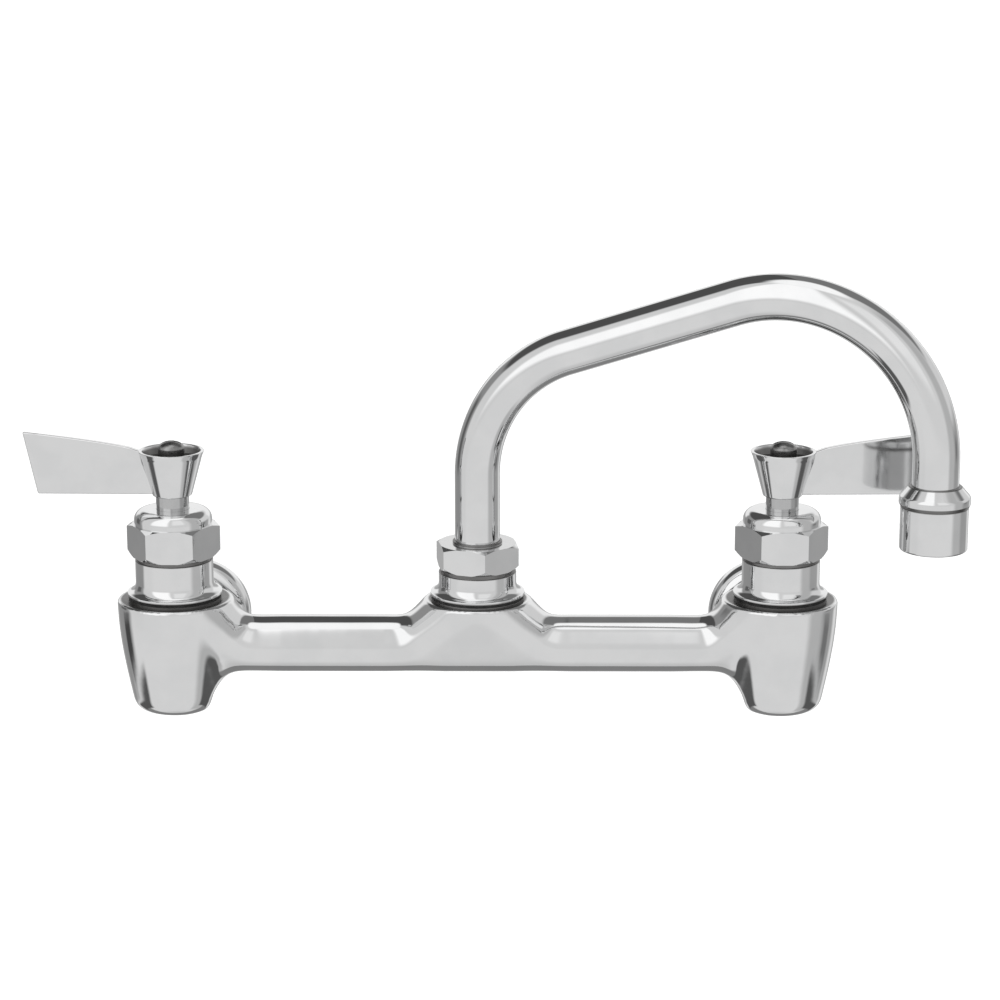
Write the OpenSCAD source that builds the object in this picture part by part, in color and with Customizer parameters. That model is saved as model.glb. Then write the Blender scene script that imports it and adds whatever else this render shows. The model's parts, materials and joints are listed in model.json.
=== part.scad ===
// Wall faucet with two quarter-turn lever valves and a swinging spout.
// Millimetres, +Z up. The origin is on the wall, midway between the two inlets and level with them.
// +X points to the right as the user faces the wall, and +Y points into the wall.

/* [Layout] */
// Distance between the two inlets
inlet_centres = 203.2; // [150:0.1:260]
// Distance from the wall to the axes of the valves and the spout
wall_gap = 63.5; // [56:0.5:90]
// Height of the three machined decks above the inlets
deck_z = 23.1; // [22:0.1:26]
// Height of the cross tube's axis above the inlets
tube_z = 7.2; // [6:0.1:9]

/* [Body casting] */
// Radius of a valve pot at its deck
pot_r = 19.3; // [18:0.1:24]
// Radius of the pot where its foot starts to round
pot_foot_r = 14.9; // [13:0.1:17]
// Height of the pot from its foot to its deck
pot_h = 38.3; // [36:0.1:46]
// Radius of the round at the pot's foot
pot_foot_round = 4.5; // [2:0.1:8]
// Outer radius of the cross tube
tube_r = 9.7; // [8.5:0.1:11]
// Radius of the waterway in the cross tube
tube_bore_r = 7.2; // [5:0.1:7.4]
// Distance from a pot's side to where its shoulder meets the cross tube
shoulder_run = 3; // [2:0.5:12]
// Radius of the arch that runs from the cross tube's underside down each pot's inner side
arch_r = 11.6; // [10:0.1:14]
// Distance from a pot's axis to the nearest point of the arch
arch_set = 11.5; // [11:0.1:13]
// Radius of the centre boss at its deck
boss_r = 17.6; // [16.6:0.1:22]
// Half length of the centre boss along the cross tube
boss_run = 23; // [22.5:0.5:40]
// Thickness of the upright rim of the centre boss and the pot shoulders
rim_h = 2.1; // [1:0.1:4]
// Radius of the raised ring on each deck
step_r = 15.5; // [14.5:0.1:16]
// Height of the raised ring on each deck
step_h = 0.6; // [0.4:0.1:2]
// Radius of the inlet stub behind each pot
stub_r = 9.5; // [8.5:0.1:11]
// Radius of the waterway in the inlet stub
stub_bore_r = 6.5; // [4:0.1:7]
// Radius of the upper valve chamber
chamber_r = 11; // [9.5:0.1:11.5]
// Radius of the lower valve chamber
sump_r = 8; // [7:0.1:9]
// Radius of the port between the inlet stub and the lower chamber
port_r = 4.3; // [3:0.1:4.6]
// Thickness of the web that carries the seat
web_h = 3.5; // [2.5:0.1:4]
// Height of the upper chamber's floor above the inlets
web_z = 5; // [4.6:0.1:6]
// Thickness of the pot's floor
pot_floor = 3.8; // [2:0.1:5]

/* [Valve sleeve and bonnet] */
// Thickness of the gasket under each sleeve
gasket_h = 0.8; // [0.5:0.1:2]
// Radius of the flared rim of each sleeve
flare_r = 15.8; // [15.6:0.1:18]
// Height of the flare from its rim to the collar
flare_h = 4.5; // [2:0.1:6]
// Thickness of the flared rim at its edge
flare_edge = 1.1; // [0.4:0.1:1.5]
// Radius of the collar above the flare
collar_r = 13; // [12.9:0.1:14]
// Height of the groove under the nut at the collar's top
collar_groove_h = 1.3; // [0.5:0.1:2]
// Depth of the groove under the nut
collar_groove_depth = 0.5; // [0.2:0.1:0.8]
// Height of a valve sleeve from its rim to the bonnet nut
sleeve_h = 13.5; // [11:0.5:18]
// Radius of the sleeve's thread in the casting
spigot_r = 12.4; // [12:0.1:12.6]
// Length of the sleeve's thread in the casting
spigot_h = 8.5; // [6:0.1:9]
// Radius of the sleeve's thread inside the bonnet nut
bonnet_thread_r = 11.5; // [11:0.1:11.8]
// Height of the sleeve's thread inside the bonnet nut
bonnet_thread_h = 7; // [5:0.1:8]
// Distance across the flats of the bonnet nut
bonnet_af = 27; // [26.9:0.1:30]
// Height of the hexagon of the bonnet nut
bonnet_hex_h = 11; // [9:0.1:14]
// Radius of the round cap of the bonnet nut
cap_r = 13; // [12.5:0.1:13.4]
// Height of the round cap of the bonnet nut
cap_h = 5; // [3.5:0.1:7]
// Round at the top edge of the cap
cap_round = 3.6; // [1:0.1:4.2]
// Thickness of the cap's roof over the packing
cap_roof = 3.4; // [2:0.1:4]
// Thickness of the packing washer
gland_h = 1; // [0.5:0.1:1.5]

/* [Valve stem and seat] */
// Radius of the stem's neck
neck_r = 5.5; // [4.5:0.1:5.8]
// Radius of the stem's thread
stem_thread_r = 7.5; // [7:0.1:8]
// Length of the stem's thread
stem_thread_h = 10; // [6:0.5:11]
// Radius of the stem below its thread
shank_r = 6; // [5:0.1:6.8]
// Lift of the stem in a quarter turn
stem_lift = 2.5; // [1.5:0.1:3]
// Radius of the seat's waterway
seat_bore_r = 4.5; // [3.8:0.1:4.8]
// Radius of the seat's thread in the web
seat_thread_r = 6.6; // [6:0.1:7]
// Radius of the seat's flange
seat_flange_r = 7.8; // [7.4:0.1:9]
// Height of the seat's flange above the web
seat_flange_h = 1.5; // [1:0.1:2]
// Height of the seat's raised lip
seat_lip_h = 0.5; // [0.3:0.1:1]
// Width of the seat's raised lip
seat_lip_w = 1; // [0.5:0.1:1.2]
// Radius of the seat washer
seat_washer_r = 6.2; // [5.6:0.1:6.4]
// Thickness of the seat washer
seat_washer_h = 3; // [2:0.1:3.5]
// Outer radius of the disc holder
holder_r = 7.3; // [6.8:0.1:7.4]
// Thickness of the disc holder above the washer
holder_h = 2.8; // [2:0.1:3]
// Radius of the disc holder's pivot in the stem
pivot_r = 3.5; // [2.5:0.1:4]
// Length of the disc holder's pivot
pivot_h = 7; // [4:0.5:8]
// Radius of the washer screw's head
washer_head_r = 3.3; // [2.5:0.1:3.5]
// Height of the washer screw's head
washer_head_h = 1.5; // [1:0.1:1.5]
// Radius of the washer screw's shank
washer_screw_r = 1.5; // [1:0.1:2]
// Length of the washer screw's thread in the disc holder
washer_screw_grip = 5.5; // [3:0.1:7]

/* [Lever handle] */
// Gap between the bonnet cap and the handle
hub_gap = 4.6; // [4:0.1:8]
// Height of the handle's hub
hub_h = 15.3; // [13:0.1:20]
// Radius of the hub at its foot
hub_foot_r = 6.5; // [6.2:0.1:8]
// Radius of the hub's cone under its lip
hub_cone_r = 10.2; // [9.8:0.1:10.4]
// Height of the lip round the hub's top
hub_lip_h = 1.9; // [1:0.1:3]
// Radius of the hub at its top
hub_top_r = 11; // [10.5:0.05:13]
// Width of the bevelled rim at the hub's top
hub_rim = 1.2; // [1:0.1:2.4]
// Depth of the hub's dish
dish_h = 3; // [2:0.1:4]
// Radius of the hub's post under the screw
post_r = 4.4; // [3.8:0.1:4.6]
// Distance from the hub's rim down to the top of its post
post_drop = 0.2; // [0:0.1:1]
// Radius of the stem's splined tip in the hub
spline_r = 4.5; // [4:0.1:4.8]
// Length of the stem's splined tip in the hub
spline_h = 8; // [6:0.1:9]
// Reach of the lever from its axis to the upper corner of its tip
lever_reach = 49.2; // [40:0.1:52]
// Reach of the lever to the lower corner of its tip
lever_low_reach = 44.7; // [35:0.1:48]
// Thickness of the lever
lever_t = 3.6; // [2.5:0.1:5]
// Height of the lever's lower edge above the hub's foot
lever_foot = 0.5; // [0.2:0.1:2]
// Rise of the lever's upper edge from the hub to the tip
lever_rise = 5.3; // [0:0.1:8]
// Radius of the handle screw's head
handle_head_r = 4.4; // [3:0.1:4.6]
// Height of the handle screw's head
handle_head_h = 2.4; // [2:0.1:4]
// Radius of the handle screw's shank
handle_screw_r = 2; // [1.5:0.1:2.5]
// Length of the handle screw's thread in the stem
handle_screw_grip = 7; // [4:0.5:12]
// Thickness of the handle's lock washer
lock_washer_h = 0.9; // [0.5:0.1:1.2]
// Width of the slot in the handle screw
slot_w = 0.9; // [0.5:0.1:1.5]

/* [Wall inlets] */
// Radius of the wall flange
flange_r = 19.7; // [18:0.1:30]
// Thickness of the wall flange
flange_h = 7.5; // [5:0.1:8]
// Round at the front edge of the wall flange
flange_round = 2; // [0.5:0.1:3]
// Radius of the female pipe thread in the wall flange
pipe_r = 9.9; // [9.5:0.05:10.4]
// Depth of the female pipe thread in the wall flange
pipe_h = 14; // [10:0.5:15]
// Radius of the union thread on the wall flange
union_r = 12; // [11.8:0.1:12.6]
// Length of the union thread on the wall flange
union_h = 11.5; // [10:0.5:14]
// Distance across the flats of the coupling nut
coupling_af = 28.6; // [28:0.1:32]
// Gap between the wall flange and the coupling nut
coupling_gap = 1; // [0.5:0.1:3]
// Thickness of the coupling nut's shoulder
coupling_shoulder = 3; // [2:0.1:4]
// Thickness of the inlet washer
inlet_washer_h = 1.5; // [1:0.1:3]
// Width of the snap ring behind the coupling nut's shoulder
snap_h = 2; // [1.5:0.1:2.5]
// Distance from the end of the stub to the snap ring
snap_set = 0.8; // [0.5:0.1:2]
// Depth of the snap ring's groove in the stub
snap_depth = 0.8; // [0.5:0.1:1]

/* [Spout] */
// Reach of the spout from its swivel axis
spout_reach = 152.4; // [140:0.1:200]
// Angle of the parked spout forward of straight right
spout_park = 17; // [12:0.5:90]
// Outer radius of the spout tube
spout_r = 7.5; // [7.4:0.02:8]
// Wall of the spout tube
spout_wall = 1.2; // [0.8:0.1:1.6]
// Height of the top of the riser above the deck
riser_h = 42.7; // [36:0.1:70]
// Radius of the bend above the riser, at the tube's centre
riser_bend_r = 45.5; // [20:0.5:50]
// Slope of the straight run
spout_slope = 19.2; // [10:0.2:30]
// Radius of the bend above the outlet, at the tube's centre
outlet_bend_r = 50; // [30:0.5:54]
// Height of the outlet adapter's collar from its rim to the swivel nut
adapter_h = 9.4; // [7:0.1:12]
// Radius of the adapter's thread inside the swivel nut
swivel_thread_r = 11.2; // [11:0.1:11.4]
// Height of the adapter's thread inside the swivel nut
swivel_thread_h = 3; // [2:0.1:4]
// Distance across the flats of the swivel nut
swivel_af = 25.4; // [25.2:0.1:28]
// Height of the swivel nut
swivel_h = 8.5; // [8:0.1:12]
// Width of the raised lip round the spout on top of the swivel nut
nut_lip_w = 0.8; // [0.5:0.1:1.5]
// Height of the raised lip on the swivel nut
nut_lip_h = 0.8; // [0.4:0.1:1.5]
// Turn of the swivel nut's corners from straight ahead
swivel_turn = 10.5; // [0:0.5:30]
// Thickness of the swivel nut's roof
swivel_roof = 2.2; // [1.5:0.1:3]
// Thickness of the plain bearing washer under the spout's ring
bearing_h = 1; // [0.5:0.1:1.2]
// Radius of the section of each O-ring
oring_r = 1; // [0.8:0.1:1.2]
// Height of the lower O-ring above the adapter's rim
oring_low = 0.5; // [0:0.1:1]
// Distance between the two O-rings
oring_pitch = 5; // [3:0.1:6]
// Depth of the spout tube below the adapter's rim
spout_sink = 4; // [3:0.1:6]

/* [Outlet] */
// Radius of the outlet ferrule at its widest
ferrule_r = 11.4; // [11.3:0.1:13]
// Radius of the ferrule at its top
ferrule_top_r = 8.4; // [8.3:0.1:9.4]
// Height of the ferrule's shoulder
ferrule_cone_h = 3.4; // [2:0.1:5]
// Height of the ferrule's upright band
ferrule_band_h = 2.2; // [1:0.1:4]
// Height of the ferrule's lower bevel
ferrule_bevel_h = 0.95; // [0.5:0.05:1.5]
// Height of the straight leg of the spout above the ferrule
leg_h = 7.9; // [4:0.1:20]
// Height of the aerator housing
aerator_h = 14.4; // [13:0.1:20]
// Radius of the aerator housing
aerator_r = 10.8; // [10.7:0.05:11.2]
// Round at the lower edge of the aerator housing
aerator_round = 0.8; // [0.3:0.1:1.5]
// Radius of the ferrule's thread in the housing
outlet_thread_r = 9.5; // [9.2:0.1:9.8]
// Length of the ferrule's thread in the housing
outlet_thread_h = 5.5; // [4:0.1:6]
// Radius of the mouth of the aerator housing
mouth_r = 7.6; // [6.8:0.1:8.4]
// Thickness of the lip round the mouth
mouth_lip = 1.4; // [0.8:0.1:2]
// Thickness of the aerator washer
aerator_washer_h = 1.4; // [0.8:0.1:2]
// Thickness of the aerator screen
screen_h = 0.8; // [0.5:0.1:1.2]

/* [Fits] */
// Radial clearance of a thread or a location fit
fit_gap = 0.05; // [0.02:0.01:0.08]
// Clearance where one piece turns or slides on another
run_gap = 0.06; // [0.03:0.01:0.1]
// Gap left between a closed seat washer and its seat
seat_gap = 0.1; // [0.05:0.05:0.3]

/* [Hidden] */

$fn = 64;
// Facets round a hull's own children
hull_fn = 32;
// Overrun of every cut past the surface that it opens
over = 1;
// Land left between a hexagon's flats and its trimmed corners
corner_land = 0.25;
// Widening of the cone that trims a hexagon's upper corners, as a share of its height
upper_trim_share = 1.7;
// Set-in of a gasket from the edge of the ring that it sits on
gasket_set = 0.25;
// Set-in of a casting fillet inside the tube that it blends into
fillet_set = 0.3;
// Set-down of the inlet port under the lower chamber's roof
port_set = 0.2;
// Depth of the thread's roof above the foot of the bonnet nut
thread_roof_h = 3;
// Spare lift of the stem's thread under its roof when fully open
stem_spare = 0.5;
// Part of the seat washer's thickness that the disc holder's skirt covers
skirt_share = 0.6;
// Height of the slot's floor in the handle screw's head, as a part of the head's height
slot_floor_share = 0.6;
// Set-in of the retaining ring from the swivel nut's thread
ring_set = 0.36;
// Extra thickness of each spout bend on both faces, so that the straights end inside it
bend_swell = 0.03;
// Length that a straight of the spout runs into a bend
bend_lap = 0.5;
// Radius of a jet or a screen hole, and of the ring of jets, as parts of the mouth's radius
hole_share = 0.085;
jet_ring_share = 0.67;
jets = 12;
screen_rows = 3;
first_row_holes = 6;
// Turn from a hexagon's flat to its corner
flat_to_corner = 30;
left = -1;
right = 1;

half_centres = inlet_centres / 2;
valve_y = -wall_gap;

// Heights on the three bosses, counted upward from the deck
step_top = deck_z + step_h;
rim_z = step_top + gasket_h;
bonnet_z = rim_z + sleeve_h;
cap_z = bonnet_z + bonnet_hex_h;
cap_top = cap_z + cap_h;
hub_z = cap_top + hub_gap;
hub_top = hub_z + hub_h;
post_top = hub_top - post_drop;

// Casting
pot_foot_z = deck_z - pot_h;
sump_floor = pot_foot_z + pot_floor;
sump_top = web_z - web_h;
spigot_z = rim_z - spigot_h;
port_z = sump_top - port_set - port_r;
gasket_r = step_r - gasket_set;
foot_steps = 6;

// Valve internals
seat_top = web_z + seat_flange_h + seat_lip_h;
washer_z = seat_top + seat_gap;
holder_z = washer_z + seat_washer_h;
holder_skirt = seat_washer_h * skirt_share;
stem_z = holder_z + holder_h + run_gap;
thread_roof = bonnet_z + thread_roof_h;
stem_thread_top = thread_roof - stem_lift - stem_spare;
sleeve_top = bonnet_z + bonnet_thread_h;
packing_z = sleeve_top + gland_h;
roof_z = cap_top - cap_roof;
neck_hole_r = neck_r + run_gap;

// Wall inlets, as distances from the wall
union_end = flange_h + union_h;
stub_end = union_end + inlet_washer_h;
snap_from = stub_end + snap_set;
coupling_from = flange_h + coupling_gap;
coupling_step = snap_from + snap_h + fit_gap;
coupling_end = coupling_step + coupling_shoulder;

// Spout, in the upright plane through the swivel axis
adapter_top = rim_z + adapter_h;
swivel_z = adapter_top;
swivel_top = swivel_z + swivel_h;
adapter_end = adapter_top + swivel_thread_h;
ring_z = adapter_end + bearing_h + run_gap;
ring_top = swivel_top - swivel_roof - run_gap;
riser_top = deck_z + riser_h;
spout_foot = rim_z - spout_sink;
bend_one_r = riser_bend_r * (1 - sin(spout_slope));
bend_one_z = riser_top + riser_bend_r * cos(spout_slope);
bend_two_run = outlet_bend_r * (1 + sin(spout_slope));
straight_len = (spout_reach - bend_one_r - bend_two_run) / cos(spout_slope);
bend_two_z = bend_one_z + straight_len * sin(spout_slope);
bend_two_centre = spout_reach - outlet_bend_r;
leg_top = bend_two_z - outlet_bend_r * cos(spout_slope);

// Outlet, counted downward from the end of the leg
ferrule_top = leg_top - leg_h;
band_top = ferrule_top - ferrule_cone_h;
band_foot = band_top - ferrule_band_h;
ferrule_foot = band_foot - ferrule_bevel_h;
aerator_foot = ferrule_foot - aerator_h;
outlet_thread_end = ferrule_foot - outlet_thread_h;
aerator_washer_z = outlet_thread_end - aerator_washer_h;
insert_foot = aerator_foot + mouth_lip + screen_h;
socket_r = outlet_thread_r + fit_gap;

// Puts a child on the axis of one valve
module at_valve(side) {
    translate([side * half_centres, valve_y, 0]) children();
}

// Turns a child made along +Z so that it runs from the wall towards the room
module from_wall(side) {
    translate([side * half_centres, 0, 0]) rotate([90, 0, 0]) children();
}

// Puts a child on the parked spout's plane, with +X along the spout
module on_spout() {
    translate([0, valve_y, 0]) rotate([0, 0, -spout_park]) children();
}

// Upright cylinder between two heights
module post(r, low, high) {
    translate([0, 0, low]) cylinder(r = r, h = high - low);
}

// Upright ring between two heights
module ring(outer, inner, low, high) {
    difference() {
        post(outer, low, high);
        post(inner, low - over, high + over);
    }
}

// Hexagonal prism between two heights, with one flat square to the front
module hex_prism(across_flats, low, high) {
    translate([0, 0, low]) cylinder(r = across_flats / 2 / cos(30), h = high - low, $fn = 6);
}

// Cone that trims a hexagon's corners, wider upward by one for one
module corner_trim(across_flats, low, high) {
    foot_r = across_flats / 2 + corner_land;
    translate([0, 0, low]) cylinder(r1 = foot_r, r2 = foot_r + high - low, h = high - low);
}

// Flatter cone that trims a hexagon's upper corners, wider downward
module upper_trim(across_flats, low, high) {
    top_r = across_flats / 2 + corner_land;
    translate([0, 0, low])
        cylinder(r1 = top_r + (high - low) * upper_trim_share, r2 = top_r, h = high - low);
}

// Outline of a pot's side from its axis: full under the deck, tapering to a rounded foot
module pot_outline() {
    side_h = pot_h - pot_foot_round;
    polygon(concat(
        [[0, deck_z]],
        [for (i = [0 : foot_steps])
            let (a = i * 90 / foot_steps)
            [pot_foot_r + (pot_r - pot_foot_r) * cos(a), deck_z - side_h * i / foot_steps]],
        [for (i = [1 : foot_steps])
            let (a = i * 90 / foot_steps)
            [pot_foot_r - pot_foot_round * (1 - cos(a)), pot_foot_z + pot_foot_round * (1 - sin(a))]],
        [[0, pot_foot_z]]
    ));
}

// Short length of the cross tube that a shoulder blends into
module tube_slice(x) {
    translate([x, 0, tube_z]) rotate([0, 90, 0])
        cylinder(r = tube_r, h = rim_h, center = true, $fn = hull_fn);
}

// Shoulder from a pot's deck down to the cross tube
module pot_shoulder(side) {
    hull() {
        translate([side * half_centres, 0, deck_z - rim_h]) cylinder(r = pot_r, h = rim_h, $fn = hull_fn);
        tube_slice(side * (half_centres - pot_r - shoulder_run));
    }
}

// Centre boss that spreads from its deck to the cross tube on both sides
module centre_boss() {
    hull() {
        translate([0, 0, deck_z - rim_h]) cylinder(r = boss_r, h = rim_h, $fn = hull_fn);
        tube_slice(-boss_run);
        tube_slice(boss_run);
    }
}

// Puts a child on the centre of the arch beside one pot, with its axis level and square to the wall
module at_arch(side) {
    arch_x = half_centres - arch_set - arch_r;
    mirror([side == left ? 1 : 0, 0, 0])
        translate([arch_x, 0, tube_z - tube_r - arch_r]) rotate([90, 0, 0]) children();
}

// Valve pot, scooped on its inner side by the arch
module pot(side) {
    difference() {
        translate([side * half_centres, 0, 0]) rotate_extrude() pot_outline();
        at_arch(side) cylinder(r = arch_r, h = 2 * pot_r + over, center = true);
    }
}

// Bend that turns from the cross tube's underside down into the pot, along the arch
module arch_web(side) {
    at_arch(side) rotate_extrude(angle = 90) translate([tube_r + arch_r, 0]) circle(r = tube_r - fillet_set);
}

// Inlet stub that carries the coupling nut and its snap ring
module inlet_stub(side) {
    difference() {
        from_wall(side) post(stub_r, stub_end, wall_gap);
        from_wall(side) ring(stub_r + over, stub_r - snap_depth, snap_from, snap_from + snap_h);
    }
}

// Waterway through the cross tube, which stops at the webs under the two upper chambers
module cross_bore() {
    difference() {
        translate([-half_centres, 0, tube_z]) rotate([0, 90, 0]) cylinder(r = tube_bore_r, h = inlet_centres);
        for (side = [left, right])
            translate([side * half_centres, 0, 0]) post(chamber_r - over / 2, web_z - 2 * tube_bore_r, web_z);
    }
}

module body_casting() {
    color("gainsboro")
    difference() {
        union() {
            translate([0, valve_y, 0]) {
                translate([-half_centres, 0, tube_z]) rotate([0, 90, 0])
                    cylinder(r = tube_r, h = inlet_centres);
                centre_boss();
                post(step_r, deck_z - rim_h, step_top);
                for (side = [left, right]) {
                    pot_shoulder(side);
                    pot(side);
                    arch_web(side);
                    translate([side * half_centres, 0, 0]) post(step_r, deck_z - rim_h, step_top);
                }
            }
            for (side = [left, right]) inlet_stub(side);
        }
        translate([0, valve_y, 0]) {
            cross_bore();
            post(spigot_r + fit_gap, spigot_z - fit_gap, step_top + over);
            post(tube_bore_r, tube_z, spigot_z);
        }
        for (side = [left, right]) {
            at_valve(side) {
                post(spigot_r + fit_gap, spigot_z - fit_gap, step_top + over);
                post(chamber_r, web_z, spigot_z);
                post(seat_thread_r + fit_gap, sump_top - over, web_z + over);
                post(sump_r, sump_floor, sump_top);
            }
            from_wall(side) post(stub_bore_r, stub_end - over, wall_gap - chamber_r - over);
            translate([0, 0, port_z]) from_wall(side) post(port_r, wall_gap - pot_r, wall_gap);
        }
    }
}

// Outline of a sleeve's outside: flared rim, concave skirt, upright collar and a groove under the nut
module sleeve_outline(top) {
    skirt = flare_r - collar_r;
    polygon(concat(
        [[0, rim_z], [flare_r, rim_z], [flare_r, rim_z + flare_edge]],
        [for (i = [0 : foot_steps])
            let (a = i * 90 / foot_steps)
            [flare_r - skirt * sin(a), rim_z + flare_h - (flare_h - flare_edge) * cos(a)]],
        [
            [collar_r, top - collar_groove_h], [collar_r - collar_groove_depth, top - collar_groove_h],
            [collar_r - collar_groove_depth, top], [0, top]
        ]
    ));
}

module sleeve_gasket(side) {
    color("dimgray") at_valve(side) ring(gasket_r, spigot_r + fit_gap, step_top, rim_z);
}

module valve_sleeve(side) {
    color("silver") at_valve(side) difference() {
        union() {
            rotate_extrude() sleeve_outline(bonnet_z);
            post(spigot_r, spigot_z, rim_z + over);
            post(bonnet_thread_r, bonnet_z - over, sleeve_top);
        }
        post(stem_thread_r + run_gap, spigot_z - over, thread_roof);
        post(neck_hole_r, thread_roof - over, sleeve_top + over);
    }
}

// Outline of the bonnet nut's cap, with a rounded top edge
module cap_outline() {
    polygon(concat(
        [[0, cap_z - over], [cap_r, cap_z - over]],
        [for (i = [0 : foot_steps])
            let (a = i * 90 / foot_steps)
            [cap_r - cap_round * (1 - cos(a)), cap_top - cap_round * (1 - sin(a))]],
        [[0, cap_top]]
    ));
}

module bonnet_nut(side) {
    color("silver") at_valve(side) difference() {
        union() {
            intersection() {
                hex_prism(bonnet_af, bonnet_z, cap_z);
                corner_trim(bonnet_af, bonnet_z, cap_z);
                upper_trim(bonnet_af, bonnet_z, cap_z);
            }
            rotate_extrude() cap_outline();
        }
        post(bonnet_thread_r + fit_gap, bonnet_z - over, roof_z);
        post(neck_hole_r, roof_z - over, cap_top + over);
    }
}

module packing_washer(side) {
    color("darkkhaki") at_valve(side) ring(bonnet_thread_r - fit_gap, neck_hole_r, sleeve_top, packing_z);
}

module packing(side) {
    color("dimgray") at_valve(side) ring(bonnet_thread_r - fit_gap, neck_hole_r, packing_z, roof_z);
}

module seat(side) {
    color("darkkhaki") at_valve(side) difference() {
        union() {
            post(seat_thread_r, sump_top, web_z);
            post(seat_flange_r, web_z, web_z + seat_flange_h);
            post(seat_bore_r + seat_lip_w, web_z, seat_top);
        }
        post(seat_bore_r, sump_top - over, seat_top + over);
    }
}

module seat_washer(side) {
    color("black") at_valve(side) ring(seat_washer_r, washer_screw_r + fit_gap, washer_z, holder_z);
}

module washer_screw(side) {
    color("darkkhaki") at_valve(side) {
        post(washer_head_r, washer_z - washer_head_h, washer_z);
        post(washer_screw_r, washer_z, holder_z + washer_screw_grip);
    }
}

module disc_holder(side) {
    color("goldenrod") at_valve(side) difference() {
        union() {
            post(holder_r, holder_z - holder_skirt, holder_z + holder_h);
            post(pivot_r, holder_z, holder_z + holder_h + pivot_h);
        }
        post(seat_washer_r + fit_gap, holder_z - holder_skirt - over, holder_z);
        post(washer_screw_r + fit_gap, holder_z - over, holder_z + washer_screw_grip + fit_gap);
    }
}

module stem(side) {
    tip_z = hub_z + spline_h;
    color("goldenrod") at_valve(side) difference() {
        union() {
            post(shank_r, stem_z, stem_thread_top - stem_thread_h);
            post(stem_thread_r, stem_thread_top - stem_thread_h, stem_thread_top);
            post(neck_r, stem_thread_top, hub_z);
            post(spline_r, hub_z, tip_z);
        }
        post(pivot_r + run_gap, stem_z - over, holder_z + holder_h + pivot_h + run_gap);
        post(handle_screw_r + fit_gap, tip_z - handle_screw_grip - fit_gap, tip_z + over);
    }
}

// Lever blade, pointing away from the spout, with a smooth rise to its tip
module lever_blade() {
    rise_from = hub_top_r;
    rise_steps = 12;
    rotate([90, 0, 0])
        linear_extrude(height = lever_t, center = true)
            polygon(concat(
                [[0, hub_z + lever_foot], [lever_low_reach, hub_z + lever_foot]],
                [for (i = [rise_steps : -1 : 0])
                    let (t = i / rise_steps)
                    [rise_from + (lever_reach - rise_from) * t, hub_top + lever_rise * t * t * (3 - 2 * t)]],
                [[0, hub_top]]
            ));
}

module lever_handle(side) {
    dish_floor = hub_top - dish_h;
    dish_r = hub_top_r - hub_rim;
    color("silver") at_valve(side) mirror([side == left ? 1 : 0, 0, 0]) difference() {
        union() {
            translate([0, 0, hub_z]) cylinder(r1 = hub_foot_r, r2 = hub_cone_r, h = hub_h - hub_lip_h);
            translate([0, 0, hub_top - hub_lip_h]) cylinder(r1 = hub_cone_r, r2 = hub_top_r, h = hub_lip_h);
            lever_blade();
        }
        difference() {
            translate([0, 0, dish_floor]) cylinder(r1 = dish_r - hub_rim, r2 = dish_r, h = dish_h);
            post(post_r, dish_floor, post_top);
        }
        post(dish_r, hub_top, hub_top + lever_rise);
        post(spline_r + fit_gap, hub_z - over, hub_z + spline_h + fit_gap);
        post(handle_screw_r + fit_gap, hub_z, post_top + over);
    }
}

module lock_washer(side) {
    color("gray") at_valve(side)
        ring(handle_head_r, handle_screw_r + fit_gap, post_top, post_top + lock_washer_h);
}

module handle_screw(side) {
    head_z = post_top + lock_washer_h;
    shank_len = head_z - hub_z - spline_h + handle_screw_grip;
    head_ball_r = (handle_head_r * handle_head_r + handle_head_h * handle_head_h) / (2 * handle_head_h);
    color("dimgray") at_valve(side) {
        difference() {
            intersection() {
                post(handle_head_r, head_z, head_z + handle_head_h);
                translate([0, 0, head_z + handle_head_h - head_ball_r]) sphere(r = head_ball_r);
            }
            translate([-handle_head_r, -slot_w / 2, head_z + handle_head_h * slot_floor_share])
                cube([2 * handle_head_r, slot_w, handle_head_h]);
        }
        post(handle_screw_r, head_z - shank_len, head_z);
    }
}

// Outline of the wall flange with a rounded front edge, distance from the wall upward
module flange_outline() {
    polygon(concat(
        [[0, 0], [flange_r, 0]],
        [for (i = [0 : foot_steps])
            let (a = i * 90 / foot_steps)
            [flange_r - flange_round * (1 - cos(a)), flange_h - flange_round * (1 - sin(a))]],
        [[0, flange_h]]
    ));
}

module wall_flange(side) {
    color("silver") from_wall(side) difference() {
        union() {
            rotate_extrude() flange_outline();
            post(union_r, flange_h - over, union_end);
        }
        post(pipe_r, -over, pipe_h);
        post(stub_bore_r, pipe_h - over, union_end + over);
    }
}

module coupling_nut(side) {
    color("silver") from_wall(side) difference() {
        intersection() {
            hex_prism(coupling_af, coupling_from, coupling_end);
            corner_trim(coupling_af, coupling_from, coupling_end);
            translate([0, 0, coupling_from + coupling_end]) mirror([0, 0, 1])
                corner_trim(coupling_af, coupling_from, coupling_end);
        }
        post(union_r + fit_gap, coupling_from - over, coupling_step);
        post(stub_r + fit_gap, coupling_step - over, coupling_end + over);
    }
}

module snap_ring(side) {
    groove_r = stub_r - snap_depth;
    color("dimgray") from_wall(side)
        ring(union_r - fit_gap, groove_r + fit_gap, snap_from + fit_gap, snap_from + snap_h - fit_gap);
}

module inlet_washer(side) {
    color("black") from_wall(side) ring(union_r - fit_gap, stub_bore_r + fit_gap, union_end, stub_end);
}

module outlet_gasket() {
    color("dimgray") translate([0, valve_y, 0]) ring(gasket_r, spigot_r + fit_gap, step_top, rim_z);
}

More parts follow.
